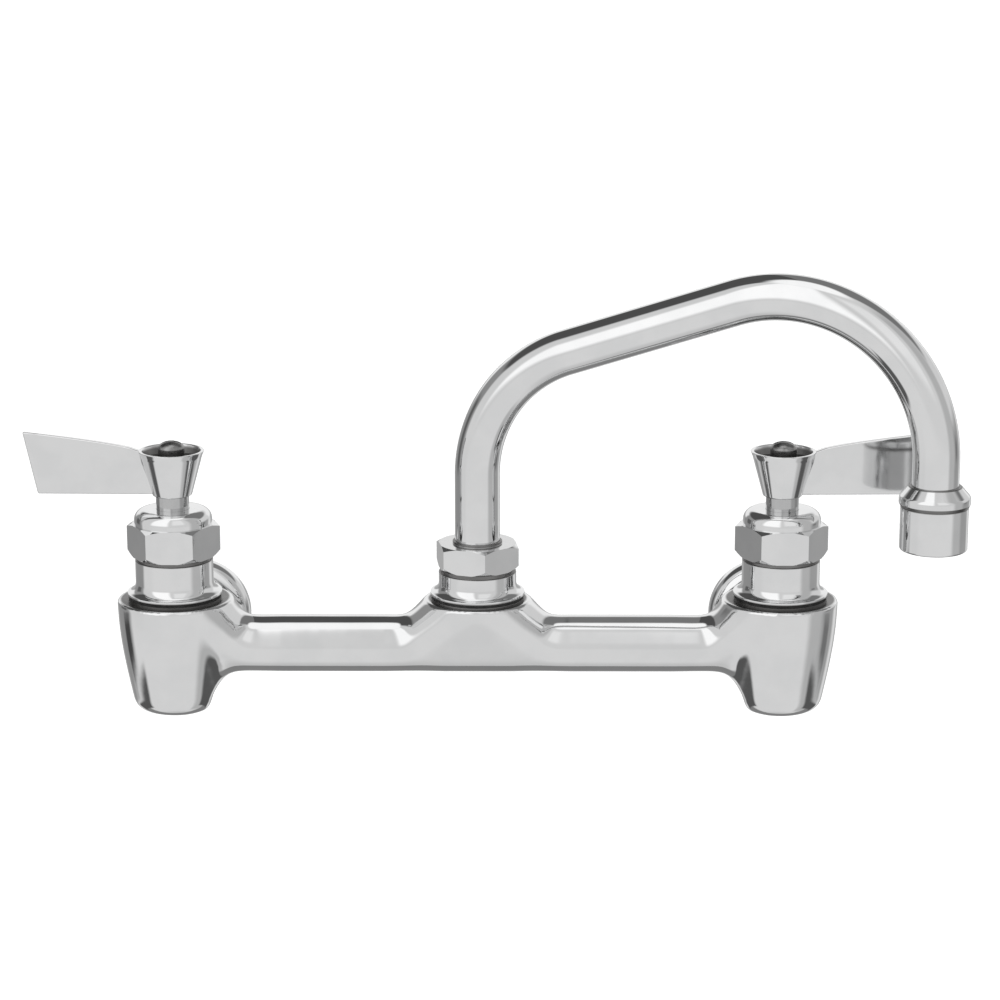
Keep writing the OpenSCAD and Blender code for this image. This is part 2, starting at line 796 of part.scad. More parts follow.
module outlet_adapter() {
    color("silver") translate([0, valve_y, 0]) difference() {
        union() {
            rotate_extrude() sleeve_outline(adapter_top);
            post(spigot_r, spigot_z, rim_z + over);
            post(swivel_thread_r, adapter_top - over, adapter_end);
        }
        post(spout_r + run_gap, spout_foot - run_gap, adapter_end + over);
        post(spout_r - spout_wall, spigot_z - over, adapter_end);
        for (i = [0, 1])
            post(spout_r + 2 * oring_r, rim_z + oring_low + i * oring_pitch,
                rim_z + oring_low + i * oring_pitch + 2 * oring_r + 2 * fit_gap);
    }
}

module spout_bearing_washer() {
    color("ivory") translate([0, valve_y, 0])
        ring(swivel_thread_r, spout_r + run_gap, adapter_end, adapter_end + bearing_h);
}

module swivel_nut() {
    color("silver") translate([0, valve_y, 0]) difference() {
        union() {
            intersection() {
                rotate([0, 0, swivel_turn - flat_to_corner]) hex_prism(swivel_af, swivel_z, swivel_top);
                corner_trim(swivel_af, swivel_z, swivel_top);
                upper_trim(swivel_af, swivel_z, swivel_top);
            }
            post(spout_r + nut_lip_w, ring_top + run_gap, swivel_top + nut_lip_h);
        }
        post(swivel_thread_r + fit_gap, swivel_z - over, ring_top + run_gap);
        post(spout_r + run_gap, swivel_z, swivel_top + nut_lip_h + over);
    }
}

module spout_orings() {
    section_r = oring_r - run_gap / 2;
    color("black") translate([0, valve_y, 0])
        for (i = [0, 1])
            translate([0, 0, rim_z + oring_low + i * oring_pitch + oring_r + fit_gap])
                rotate_extrude() translate([spout_r + run_gap / 2 + oring_r, 0]) circle(r = section_r);
}

// Section of the spout tube, thicker by a swell on both faces
module spout_section(swell) {
    difference() {
        circle(r = spout_r + swell);
        circle(r = spout_r - spout_wall - swell);
    }
}

// Straight length of the spout tube between two heights
module spout_straight(low, high) {
    translate([0, 0, low]) linear_extrude(height = high - low) spout_section(0);
}

// Bend of the spout tube about its own centre, from level forward round to an angle
module spout_bend(bend_r, angle) {
    rotate([90, 0, 0]) rotate_extrude(angle = angle) translate([bend_r, 0]) spout_section(bend_swell);
}

// Spout tube: riser, bend, sloping run, bend and leg, each straight lapping into the bends
module spout_tube() {
    color("gainsboro") on_spout() {
        spout_straight(spout_foot, riser_top + bend_lap);
        translate([riser_bend_r, 0, riser_top]) mirror([1, 0, 0]) spout_bend(riser_bend_r, 90 - spout_slope);
        translate([bend_one_r, 0, bend_one_z]) rotate([0, 90 - spout_slope, 0])
            spout_straight(-bend_lap, straight_len + bend_lap);
        translate([bend_two_centre, 0, leg_top]) spout_bend(outlet_bend_r, 90 + spout_slope);
        translate([spout_reach, 0, 0]) spout_straight(band_foot, leg_top + bend_lap);
    }
}

module spout_retaining_ring() {
    color("goldenrod") on_spout() ring(swivel_thread_r - ring_set, spout_r + fit_gap, ring_z, ring_top);
}

module outlet_ferrule() {
    color("silver") on_spout() translate([spout_reach, 0, 0]) difference() {
        rotate_extrude() polygon([
            [0, ferrule_top], [ferrule_top_r, ferrule_top], [ferrule_r, band_top], [ferrule_r, band_foot],
            [ferrule_r - ferrule_bevel_h / 2, ferrule_foot], [outlet_thread_r, ferrule_foot],
            [outlet_thread_r, outlet_thread_end], [0, outlet_thread_end]
        ]);
        post(spout_r + fit_gap, band_foot, ferrule_top + over);
        post(spout_r - spout_wall, outlet_thread_end - over, band_foot + over);
    }
}

module aerator_housing() {
    color("gainsboro") on_spout() translate([spout_reach, 0, 0]) difference() {
        rotate_extrude() polygon(concat(
            [[0, ferrule_foot], [aerator_r, ferrule_foot]],
            [for (i = [0 : foot_steps])
                let (a = i * 90 / foot_steps)
                [aerator_r - aerator_round * (1 - cos(a)), aerator_foot + aerator_round * (1 - sin(a))]],
            [[0, aerator_foot]]
        ));
        post(socket_r, aerator_foot + mouth_lip, ferrule_foot + over);
        post(mouth_r, aerator_foot - over, ferrule_foot);
    }
}

module aerator_washer() {
    color("black") on_spout() translate([spout_reach, 0, 0])
        ring(outlet_thread_r, spout_r - spout_wall, aerator_washer_z, outlet_thread_end);
}

// Spray former: a cup with a ring of jets through its floor
module aerator_insert() {
    color("ivory") on_spout() translate([spout_reach, 0, 0]) difference() {
        post(outlet_thread_r - fit_gap, insert_foot, aerator_washer_z);
        post(mouth_r, insert_foot - over, (insert_foot + aerator_washer_z) / 2);
        for (i = [0 : jets - 1])
            rotate([0, 0, i * 360 / jets]) translate([mouth_r * jet_ring_share, 0, 0])
                post(mouth_r * hole_share, insert_foot, aerator_washer_z + over);
    }
}

// Screen across the mouth, as a disc with rings of holes
module aerator_screen() {
    hole_r = mouth_r * hole_share;
    color("lightgray") on_spout() translate([spout_reach, 0, 0]) difference() {
        post(outlet_thread_r - fit_gap, aerator_foot + mouth_lip, insert_foot);
        post(hole_r, aerator_foot, insert_foot + over);
        for (row = [1 : screen_rows])
            for (i = [1 : first_row_holes * row])
                rotate([0, 0, i * 360 / first_row_holes / row])
                    translate([mouth_r * row / (screen_rows + 1), 0, 0])
                        post(hole_r, aerator_foot, insert_foot + over);
    }
}

body_casting();
outlet_adapter();
outlet_gasket();
spout_bearing_washer();
swivel_nut();
spout_orings();
spout_tube();
spout_retaining_ring();
outlet_ferrule();
aerator_housing();
aerator_washer();
aerator_insert();
aerator_screen();
wall_flange(left);  // left_wall_flange
coupling_nut(left);  // left_coupling_nut
snap_ring(left);  // left_snap_ring
inlet_washer(left);  // left_inlet_washer
sleeve_gasket(left);  // left_sleeve_gasket
valve_sleeve(left);  // left_valve_sleeve
bonnet_nut(left);  // left_bonnet_nut
packing_washer(left);  // left_packing_washer
packing(left);  // left_packing
seat(left);  // left_seat
seat_washer(left);  // left_seat_washer
washer_screw(left);  // left_washer_screw
disc_holder(left);  // left_disc_holder
stem(left);  // left_stem
lever_handle(left);  // left_lever_handle
lock_washer(left);  // left_lock_washer
handle_screw(left);  // left_handle_screw
wall_flange(right);  // right_wall_flange
coupling_nut(right);  // right_coupling_nut
snap_ring(right);  // right_snap_ring
inlet_washer(right);  // right_inlet_washer
sleeve_gasket(right);  // right_sleeve_gasket
valve_sleeve(right);  // right_valve_sleeve
bonnet_nut(right);  // right_bonnet_nut
packing_washer(right);  // right_packing_washer
packing(right);  // right_packing
seat(right);  // right_seat
seat_washer(right);  // right_seat_washer
washer_screw(right);  // right_washer_screw
disc_holder(right);  // right_disc_holder
stem(right);  // right_stem
lever_handle(right);  // right_lever_handle
lock_washer(right);  // right_lock_washer
handle_screw(right);  // right_handle_screw
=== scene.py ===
"""A wall faucet in polished chrome: studio, finishes and the pieces that show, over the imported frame."""

import json
import math

import bpy
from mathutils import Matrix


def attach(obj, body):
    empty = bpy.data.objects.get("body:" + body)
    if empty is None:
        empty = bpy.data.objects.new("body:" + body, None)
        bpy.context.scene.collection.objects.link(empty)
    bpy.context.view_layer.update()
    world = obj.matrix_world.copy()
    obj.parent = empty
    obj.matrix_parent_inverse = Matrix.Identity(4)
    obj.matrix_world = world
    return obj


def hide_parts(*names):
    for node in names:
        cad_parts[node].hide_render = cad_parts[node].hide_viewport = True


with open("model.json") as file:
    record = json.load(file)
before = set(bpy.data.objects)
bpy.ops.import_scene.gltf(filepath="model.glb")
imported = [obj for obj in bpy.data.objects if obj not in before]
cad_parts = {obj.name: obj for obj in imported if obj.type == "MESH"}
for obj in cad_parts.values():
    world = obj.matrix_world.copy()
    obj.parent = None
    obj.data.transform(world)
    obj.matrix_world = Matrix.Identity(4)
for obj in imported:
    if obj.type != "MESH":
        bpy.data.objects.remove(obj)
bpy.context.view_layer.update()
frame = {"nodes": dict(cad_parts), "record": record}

MM = 0.001
BODY_OF = {node: body for body, nodes in frame["record"]["behaviour"]["bodies"].items() for node in nodes}

# Layout of the faucet, in millimetres, with the origin on the wall between the inlets
HALF_CENTRES = 101.6
AXIS_Y = -63.5
DECK_Z = 23.1
TUBE_Z = 7.2
TUBE_R = 9.7
RING_R = 15.5
RING_TOP = 23.7
RIM_Z = 24.5
SPIGOT_R = 12.4
SPIGOT_Z = 16.0
FLARE_R = 15.8
COLLAR_R = 13.0
GROOVE_R = 12.5
GROOVE_H = 1.3
BONNET_Z = 38.0
CAP_Z = 49.0
CAP_TOP = 54.0
HUB_Z = 58.6
HUB_TOP = 73.9
DISH_R = 9.8
DISH_DEPTH = 3.0
NECK_R = 5.5
SWIVEL_Z = 33.9
SWIVEL_TOP = 42.4
SPOUT_R = 7.5
SPOUT_WALL = 1.2
SPOUT_FOOT = 20.5
PARK_ANGLE = math.radians(-17)
REACH = 152.4
FERRULE_TOP = 72.95
BAND_TOP = 69.55
BAND_FOOT = 67.35
FERRULE_FOOT = 66.4
HOUSING_FOOT = 52.0

# Fineness of the modelling
ROUND_STEPS = 96
CURVE_STEPS = 8
EDGE_STEPS = 3
GRAIN = 0.62
OVERCUT = 1.0

# Camera: place in metres, angles in degrees
CAMERA_PLACE = (0.0117, -1.0159, 0.2956)
CAMERA_DOWN = 14.07
CAMERA_TURN = 0.25
CAMERA_LENS = 106.1


# Camera

def place_camera():
    """Camera at the photograph's viewpoint, a metre in front of the wall and a little above the handles."""
    data = bpy.data.cameras.new("camera")
    data.lens = CAMERA_LENS
    data.sensor_width = 36
    camera = bpy.data.objects.new("camera", data)
    camera.location = CAMERA_PLACE
    camera.rotation_euler = (math.radians(90 - CAMERA_DOWN), 0, math.radians(CAMERA_TURN))
    bpy.context.scene.collection.objects.link(camera)
    bpy.context.scene.camera = camera


# Shader maths

class Socket:
    """An output of a node, or a number, with the operators that the materials use."""

    def __init__(self, tree, value):
        self.tree = tree
        self.value = value

    def math(self, operation, *others):
        node = self.tree.nodes.new("ShaderNodeMath")
        node.operation = operation
        for value, socket in zip((self, *others), node.inputs):
            feed(self.tree, value, socket)
        return Socket(self.tree, node.outputs[0])

    def __add__(self, other):
        return self.math("ADD", other)

    __radd__ = __add__

    def __sub__(self, other):
        return self.math("SUBTRACT", other)

    def __rsub__(self, other):
        return Socket(self.tree, other) - self

    def __mul__(self, other):
        return self.math("MULTIPLY", other)

    __rmul__ = __mul__

    def between(self, low, high):
        """Smooth rise from 0 at low to 1 at high."""
        node = self.tree.nodes.new("ShaderNodeMapRange")
        node.interpolation_type = "SMOOTHSTEP"
        feed(self.tree, self, node.inputs["Value"])
        feed(self.tree, low, node.inputs["From Min"])
        feed(self.tree, high, node.inputs["From Max"])
        return Socket(self.tree, node.outputs["Result"])


def feed(tree, value, socket):
    """Links a Socket, or sets a plain value, on an input."""
    if isinstance(value, Socket):
        value = value.value
    if isinstance(value, bpy.types.NodeSocket):
        tree.links.new(value, socket)
    else:
        socket.default_value = value


class Nodes:
    """A node tree with one method that adds any node."""

    def __init__(self, tree):
        self.tree = tree
        tree.nodes.clear()

    def add(self, kind, settings=None, values=None, output=0):
        """Adds a node, with its settings first, then the values or links of its sockets."""
        node = self.tree.nodes.new(kind)
        for name, value in (settings or {}).items():
            setattr(node, name, value)
        for name, value in (values or {}).items():
            feed(self.tree, value, node.inputs[name])
        return Socket(self.tree, node.outputs[output]) if len(node.outputs) else None

    def place(self, scale=(1, 1, 1)):
        """Object coordinates in millimetres, stretched by a scale."""
        coordinates = self.add("ShaderNodeTexCoord", output="Object")
        return self.add("ShaderNodeMapping", {"vector_type": "POINT"},
                        {"Vector": coordinates, "Scale": tuple(s / MM for s in scale)})

    def noise(self, size, scale=(1, 1, 1), detail=2, rough=0.5):
        """Noise between about 0 and 1, with features of a size in millimetres."""
        return self.add("ShaderNodeTexNoise", {"noise_dimensions": "3D"},
                        {"Vector": self.place(scale), "Scale": 1 / size, "Detail": detail,
                         "Roughness": rough})

    def split(self, vector):
        """The three parts of a vector."""
        node = self.tree.nodes.new("ShaderNodeSeparateXYZ")
        feed(self.tree, vector, node.inputs[0])
        return [Socket(self.tree, output) for output in node.outputs]

    def blend(self, share, low, high):
        """Colour between two by a share."""
        return self.add("ShaderNodeMix", {"data_type": "RGBA"}, {0: share, 6: low, 7: high}, output=2)

    def bump(self, height, depth, onto=None):
        """Bump from a height of 0 to 1 that stands for a depth in millimetres."""
        values = {"Height": height, "Strength": 1.0, "Distance": depth * MM}
        if onto is not None:
            values["Normal"] = onto
        return self.add("ShaderNodeBump", None, values)


def finish_material(name, constants, paint):
    """Material of one principled shader: constants on its own sockets, and what varies from paint."""
    material = bpy.data.materials.new(name)
    material.use_nodes = True
    nodes = Nodes(material.node_tree)
    shader = nodes.add("ShaderNodeBsdfPrincipled", None, constants)
    for socket, value in paint(nodes).items():
        feed(nodes.tree, value, shader.value.node.inputs[socket])
    nodes.add("ShaderNodeOutputMaterial", None, {"Surface": shader})
    return material


def grey(level, warmth=0.0):
    """Near-neutral colour, warmer with a positive warmth."""
    return (level * (1 + warmth), level, level * (1 - warmth), 1)


# Finishes

def from_axis(x, y, at_x):
    """Distance in millimetres from an upright axis, at an x and at the valves' distance from the wall."""
    across = x - at_x
    out = y - AXIS_Y
    return (across * across + out * out).math("SQRT")


def deck_crevice_shade(x, y, z):
    """Painted shade: dark, rougher bands round the foot of each sleeve, on the casting's decks."""
    pots = from_axis(x.math("ABSOLUTE"), y, HALF_CENTRES) - (POT_TOP_R - BOSS_R)
    nearest = pots.math("MINIMUM", from_axis(x, y, 0))
    inside = 1 - nearest.between(BOSS_R - 1.6, BOSS_R - 0.6)
    return inside * z.between(DECK_Z - 0.9, DECK_Z - 0.3)


def collar_crevice_shade(top):
    """Painted shade, with more roughness, in the groove under the nut and on the edge under the flare."""
    def crevice_shade(x, y, z):
        groove = z.between(top - GROOVE_H - 0.35, top - GROOVE_H)
        return groove.math("MAXIMUM", 1 - z.between(RIM_Z + 0.3, RIM_Z + 0.8))
    return crevice_shade


def lip_crevice_shade(x, y, z):
    """Painted shade, with more roughness, on the lip of the swivel nut."""
    return z.between(SWIVEL_TOP - 0.1, SWIVEL_TOP + 0.2)


def outlet_crevice_shade(x, y, z):
    """Painted shade, with more roughness, on the bevel between the ferrule and the aerator, and on the edge
    where the ferrule meets the spout.
    """
    above_housing = z.between(FERRULE_FOOT - 0.5, FERRULE_FOOT - 0.2)
    below_band = 1 - z.between(BAND_FOOT - 0.1, BAND_FOOT + 0.2)
    top_edge = z.between(FERRULE_TOP - 0.4, FERRULE_TOP - 0.1)
    return (above_housing * below_band).math("MAXIMUM", top_edge)


def dish_crevice_shade(x, y, z):
    """Painted shade, with more roughness, in the dish in the top of a hub."""
    inside = 1 - from_axis(x.math("ABSOLUTE"), y, HALF_CENTRES).between(DISH_R - 0.5, DISH_R)
    return inside * z.between(HUB_TOP - DISH_DEPTH - 0.4, HUB_TOP - DISH_DEPTH - 0.1)


def chrome(name, wave, wave_depth, cloud, rough_low, rough_high, crevice_shade=None, level=0.76):
    """Polished plate: faint waves from the wheel, cloudy gloss, hair-fine marks, and painted shade with more
    roughness in the crevices.
    """
    level_spread = 0.015
    hair_size = 0.35
    hair_depth = 0.0006
    painted_shade_level = 0.15
    dull_roughness = 0.3

    def paint(nodes):
        clouds = nodes.noise(cloud, detail=3)
        waves = nodes.noise(wave, detail=1)
        hairs = nodes.noise(hair_size, scale=(0.06, 1, 1), detail=2, rough=0.6)
        surface = nodes.bump(waves, wave_depth)
        surface = nodes.bump(hairs, hair_depth, onto=surface)
        tone = clouds.between(0.35, 0.65)
        colour = nodes.blend(tone, grey(level - level_spread, -0.004), grey(level + level_spread, -0.002))
        roughness = rough_low + (rough_high - rough_low) * clouds
        if crevice_shade:
            # Painted shade: the crevices are blended to a dark grey, and made rougher
            shade_and_dull = crevice_shade(*nodes.split(nodes.place())) * (0.82 + 0.18 * clouds)
            colour = nodes.blend(shade_and_dull, colour, grey(painted_shade_level, 0.02))
            roughness = roughness + shade_and_dull * dull_roughness
        return {"Base Color": colour, "Roughness": roughness, "Normal": surface}
    return finish_material(name, {"Metallic": 1.0}, paint)


def turned_brass():
    """Unplated brass, with the fine rings of the lathe tool and darker clouds."""
    def paint(nodes):
        rings = nodes.noise(0.18, scale=(0.05, 0.05, 1), detail=2)
        clouds = nodes.noise(4, detail=3)
        return {
            "Base Color": nodes.blend(clouds.between(0.3, 0.7), (0.52, 0.36, 0.13, 1), (0.74, 0.56, 0.27, 1)),
            "Roughness": 0.22 + 0.2 * clouds,
            "Normal": nodes.bump(rings, 0.012),
        }
    return finish_material("turned_brass", {"Metallic": 1.0}, paint)


def plain_steel():
    """Dark plain steel, with short brushed marks and a mottled gloss."""
    def paint(nodes):
        marks = nodes.noise(0.25, scale=(1, 0.12, 1), detail=3)
        clouds = nodes.noise(1.6, detail=3)
        return {
            "Base Color": nodes.blend(clouds.between(0.3, 0.7), grey(0.24, 0.01), grey(0.36, 0.005)),
            "Roughness": 0.16 + 0.22 * clouds,
            "Normal": nodes.bump(marks, 0.004),
        }
    return finish_material("plain_steel", {"Metallic": 1.0}, paint)


def woven_steel():
    """Stainless screen, with a fine crossed weave."""
    def paint(nodes):
        x, y, z = nodes.split(nodes.place((0.35, 0.35, 1)))
        weave = (x * math.tau).math("SINE") * (y * math.tau).math("SINE")
        clouds = nodes.noise(2, detail=2)
        return {
            "Base Color": nodes.blend(weave.between(-1, 1), grey(0.38), grey(0.66)),
            "Roughness": 0.25 + 0.15 * clouds,
            "Normal": nodes.bump(weave.between(-1, 1), 0.05),
        }
    return finish_material("woven_steel", {"Metallic": 1.0}, paint)


def black_rubber():
    """Matte black rubber, with a fine moulded grain and a dusty bloom."""
    def paint(nodes):
        grain = nodes.noise(0.3, detail=3, rough=0.6)
        bloom = nodes.noise(3, detail=2)
        return {
            "Base Color": nodes.blend(bloom.between(0.35, 0.75), grey(0.016), grey(0.045)),
            "Roughness": 0.6 + 0.25 * bloom,
            "Normal": nodes.bump(grain, 0.02),
        }
    return finish_material("black_rubber", {"Metallic": 0.0, "Specular IOR Level": 0.35}, paint)


def packed_fibre():
    """Braided packing, dark and slightly shiny on its strands."""
    def paint(nodes):
        x, y, z = nodes.split(nodes.place())
        braid = ((x + z) * 3.1).math("SINE") * ((y - z) * 3.1).math("SINE")
        tufts = nodes.noise(0.4, detail=3)
        return {
            "Base Color": nodes.blend(tufts.between(0.3, 0.7), grey(0.05), grey(0.13)),
            "Roughness": 0.45 + 0.3 * tufts,
            "Normal": nodes.bump(braid.between(-1, 1), 0.12),
        }
    return finish_material("packed_fibre", {"Metallic": 0.0}, paint)


def white_plastic():
    """Moulded ivory-white plastic, a little mottled, with a satin skin."""
    def paint(nodes):
        skin = nodes.noise(0.5, detail=2)
        flow = nodes.noise(5, detail=2)
        return {
            "Base Color": nodes.blend(flow.between(0.3, 0.7), (0.78, 0.77, 0.72, 1), (0.86, 0.85, 0.81, 1)),
            "Roughness": 0.32 + 0.12 * flow,
            "Normal": nodes.bump(skin, 0.006),
        }
    return finish_material("white_plastic", {"Metallic": 0.0}, paint)


# Modelling helpers

def begin():
    """Deselects everything, so that the next operator acts on the new piece alone."""
    bpy.ops.object.select_all(action="DESELECT")


def settle(name):
    """Names the piece and puts its place into its mesh."""
    piece = bpy.context.object
    piece.name = name
    piece.data.name = name
    bpy.ops.object.transform_apply(location=True, rotation=True, scale=True)
    return piece


def choose(piece):
    """Makes one piece the only one selected, and active."""
    begin()
    piece.select_set(True)
    bpy.context.view_layer.objects.active = piece


def apply_modifier(piece, kind, **settings):
    """Adds a modifier with its settings and applies it."""
    choose(piece)
    modifier = piece.modifiers.new(kind.lower(), kind)
    for name, value in settings.items():
        setattr(modifier, name, value)
    bpy.ops.object.modifier_apply(modifier=modifier.name)


def merge_and_face_out(threshold=0.0005):
    """In edit mode: merges doubles within a threshold in millimetres, and turns every face outwards."""
    bpy.ops.mesh.select_all(action="SELECT")
    bpy.ops.mesh.remove_doubles(threshold=threshold * MM)
    bpy.ops.mesh.normals_make_consistent(inside=False)


def carve(piece, tool, operation="DIFFERENCE"):
    """Cuts, joins or trims a piece by a tool piece, which is then gone."""
    apply_modifier(piece, "BOOLEAN", operation=operation, object=tool, solver="MANIFOLD")
    bpy.data.objects.remove(tool)
    return piece


def polish(piece, angle=35, width=0.0, steps=2):
    """Rounds the sharp edges by a width in millimetres and gives smooth shading that keeps flats flat."""
    if width:
        apply_modifier(piece, "BEVEL", width=width * MM, segments=steps, limit_method="ANGLE",
                       angle_limit=math.radians(angle), use_clamp_overlap=True, miter_outer="MITER_ARC")
    choose(piece)
    bpy.ops.object.shade_smooth_by_angle(angle=math.radians(angle))
    apply_modifier(piece, "WEIGHTED_NORMAL", keep_sharp=True, weight=50)
    return piece


def softened(outline):
    """Outline in which each corner given as (distance, height, round) becomes a small curve."""
    points = []
    count = len(outline)
    for index, corner in enumerate(outline):
        if len(corner) < 3:
            points.append(corner)
            continue
        x, z, size = corner
        ends = []
        for other in (outline[index - 1], outline[(index + 1) % count]):
            run = math.hypot(other[0] - x, other[1] - z)
            share = min(size / run, 0.5)
            ends.append((x + (other[0] - x) * share, z + (other[1] - z) * share))
        (ax, az), (bx, bz) = ends
        for step in range(EDGE_STEPS + 1):
            t = step / EDGE_STEPS
            u = 1 - t
            points.append((ax * u * u + 2 * x * u * t + bx * t * t, az * u * u + 2 * z * u * t + bz * t * t))
    return points


def traced(name, outline, upright=True, closed=True):
    """Wire drawn by one vertex from point to point: (distance, height), or (distance, distance out)."""
    def place(point):
        return (point[0] * MM, 0, point[1] * MM) if upright else (point[0] * MM, -point[1] * MM, 0)
    points = [place(point) for point in outline]
    begin()
    bpy.ops.mesh.primitive_plane_add(size=MM, location=points[0])
    settle(name)
    bpy.ops.object.mode_set(mode="EDIT")
    bpy.ops.mesh.merge(type="CENTER")
    for here, there in zip(points, points[1:] + (points[:1] if closed else [])):
        step = tuple(b - a for a, b in zip(here, there))
        bpy.ops.mesh.extrude_vertices_move(TRANSFORM_OT_translate={"value": step})
    bpy.ops.mesh.select_all(action="SELECT")
    bpy.ops.mesh.remove_doubles(threshold=0.0005 * MM)
    bpy.ops.object.mode_set(mode="OBJECT")
    return bpy.context.object


def turned(name, outline, at=(0, 0), upright=True, closed=True, steps=ROUND_STEPS):
    """Turned piece: its outline spun round its axis, then set down on a place in millimetres."""
    piece = traced(name, softened(outline), upright, closed)
    bpy.ops.object.mode_set(mode="EDIT")
    bpy.ops.mesh.select_all(action="SELECT")
    axis = (0, 0, 1) if upright else (0, 1, 0)
    bpy.ops.mesh.spin(steps=steps, angle=math.tau, center=(0, 0, 0), axis=axis)
    merge_and_face_out()
    shift = (at[0] * MM, at[1] * MM, 0) if upright else (at[0] * MM, 0, at[1] * MM)
    bpy.ops.transform.translate(value=shift)
    bpy.ops.object.mode_set(mode="OBJECT")
    return piece


def copied(piece, name, shift):
    """Copy of a piece with its own mesh, moved by a shift in millimetres."""
    choose(piece)
    bpy.ops.object.duplicate(linked=False)
    copy = bpy.context.object
    copy.name = name
    copy.data.name = name
    bpy.ops.transform.translate(value=tuple(s * MM for s in shift))
    bpy.ops.object.transform_apply(location=True, rotation=False, scale=False)
    return copy


def mirrored(piece, name):
    """Copy of a piece on the other side of the faucet's middle, with its own mesh."""
    choose(piece)
    bpy.ops.object.duplicate(linked=False)
    copy = bpy.context.object
    copy.name = name
    copy.data.name = name
    bpy.ops.object.mode_set(mode="EDIT")
    bpy.ops.mesh.select_all(action="SELECT")
    bpy.ops.transform.resize(value=(-1, 1, 1), center_override=(0, 0, 0))
    bpy.ops.mesh.normals_make_consistent(inside=False)
    bpy.ops.object.mode_set(mode="OBJECT")
    return copy


def quarter_curve(start, end, steps=CURVE_STEPS, bulge_first=True):
    """Points of a quarter ellipse from start to end, leaving start along the height if bulge_first."""
    (r0, z0), (r1, z1) = start, end
    points = []
    for step in range(steps + 1):
        a = math.radians(90) * step / steps
        if bulge_first:
            points.append((r1 + (r0 - r1) * math.cos(a), z0 + (z1 - z0) * math.sin(a)))
        else:
            points.append((r0 + (r1 - r0) * math.sin(a), z1 + (z0 - z1) * math.cos(a)))
    return points


def stands_for(piece, node, finish):
    """The piece takes a CAD node's place, rides on its body and gets its finish."""
    piece.data.materials.clear()
    piece.data.materials.append(finish)
    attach(piece, BODY_OF[node])
    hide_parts(node)


# Body casting

POT_TOP_R = 19.3
POT_FOOT_R = 14.9
POT_FOOT_Z = -15.2
POT_FOOT_ROUND = 4.5
BOSS_R = 17.6
BOSS_RUN = 23.0
SHOULDER_RUN = 3.0
RIM_H = 2.1
ARCH_R = 11.6
ARCH_SET = 11.5
STUB_R = 9.5
STUB_END = 20.5
STUB_BORE_R = 6.5
CHAMBER_R = 11.0
WEB_Z = 5.0
SUMP_TOP = 1.5
SUMP_FLOOR = -11.4
SUMP_R = 8.0
SEAT_HOLE_R = 6.65
PORT_R = 4.3
PORT_Z = -3.0
CROSS_BORE_R = 7.2
CROSS_BORE_END = 91.2
SOCKET_GAP = 0.05


def post(name, radius, low, high, at=(0, 0), vertices=ROUND_STEPS):
    """Upright cylinder between two heights."""
    begin()
    bpy.ops.mesh.primitive_cylinder_add(vertices=vertices, radius=radius * MM, depth=(high - low) * MM,
                                        location=(at[0] * MM, at[1] * MM, (low + high) / 2 * MM))
    return settle(name)


def bar(name, radius, low, high, height, along="X", at=AXIS_Y, vertices=ROUND_STEPS):
    """Level cylinder between two places along X, or between two distances from the wall."""
    middle = (low + high) / 2
    if along == "X":
        location = (middle, at, height)
        rotation = (0, math.radians(90), 0)
    else:
        location = (at, -middle, height)
        rotation = (math.radians(90), 0, 0)
    begin()
    bpy.ops.mesh.primitive_cylinder_add(vertices=vertices, radius=radius * MM, depth=(high - low) * MM,
                                        location=tuple(v * MM for v in location), rotation=rotation)
    return settle(name)


def joined(name, pieces):
    """Several pieces as one mesh."""
    begin()
    for piece in pieces:
        piece.select_set(True)
    bpy.context.view_layer.objects.active = pieces[0]
    bpy.ops.object.join()
    return settle(name)


def spread(name, pieces):
    """Tightest skin round several pieces, as between a boss and the tube that it grows from."""
    piece = joined(name, pieces)
    bpy.ops.object.mode_set(mode="EDIT")
    bpy.ops.mesh.select_all(action="SELECT")
    bpy.ops.mesh.convex_hull()
    bpy.ops.mesh.normals_make_consistent(inside=False)
    bpy.ops.object.mode_set(mode="OBJECT")
    return piece


def arch_tool():
    """Cylinder that scoops the arch between the left pot and the cross tube."""
    centre_x = HALF_CENTRES - ARCH_SET - ARCH_R
    return bar("arch_tool", ARCH_R, -AXIS_Y - POT_TOP_R - 1, -AXIS_Y + POT_TOP_R + 1,
               TUBE_Z - TUBE_R - ARCH_R, along="Y", at=-centre_x)


def left_pot():
    """Valve pot: full under the deck, drawn in to a rounded foot, its inner side scooped by the arch."""
    side = DECK_Z - POT_FOOT_Z - POT_FOOT_ROUND
    steps = 12
    flank = []
    for step in range(steps + 1):
        a = math.radians(90) * step / steps
        flank.append((POT_FOOT_R + (POT_TOP_R - POT_FOOT_R) * math.cos(a), DECK_Z - side * step / steps))
    heel = quarter_curve((POT_FOOT_R, POT_FOOT_Z + POT_FOOT_ROUND), (POT_FOOT_R - POT_FOOT_ROUND, POT_FOOT_Z))
    outline = [(0, DECK_Z)] + flank + heel[1:] + [(0, POT_FOOT_Z)]
    pot = turned("left_pot", outline, at=(-HALF_CENTRES, AXIS_Y), closed=False)
    return carve(pot, arch_tool())


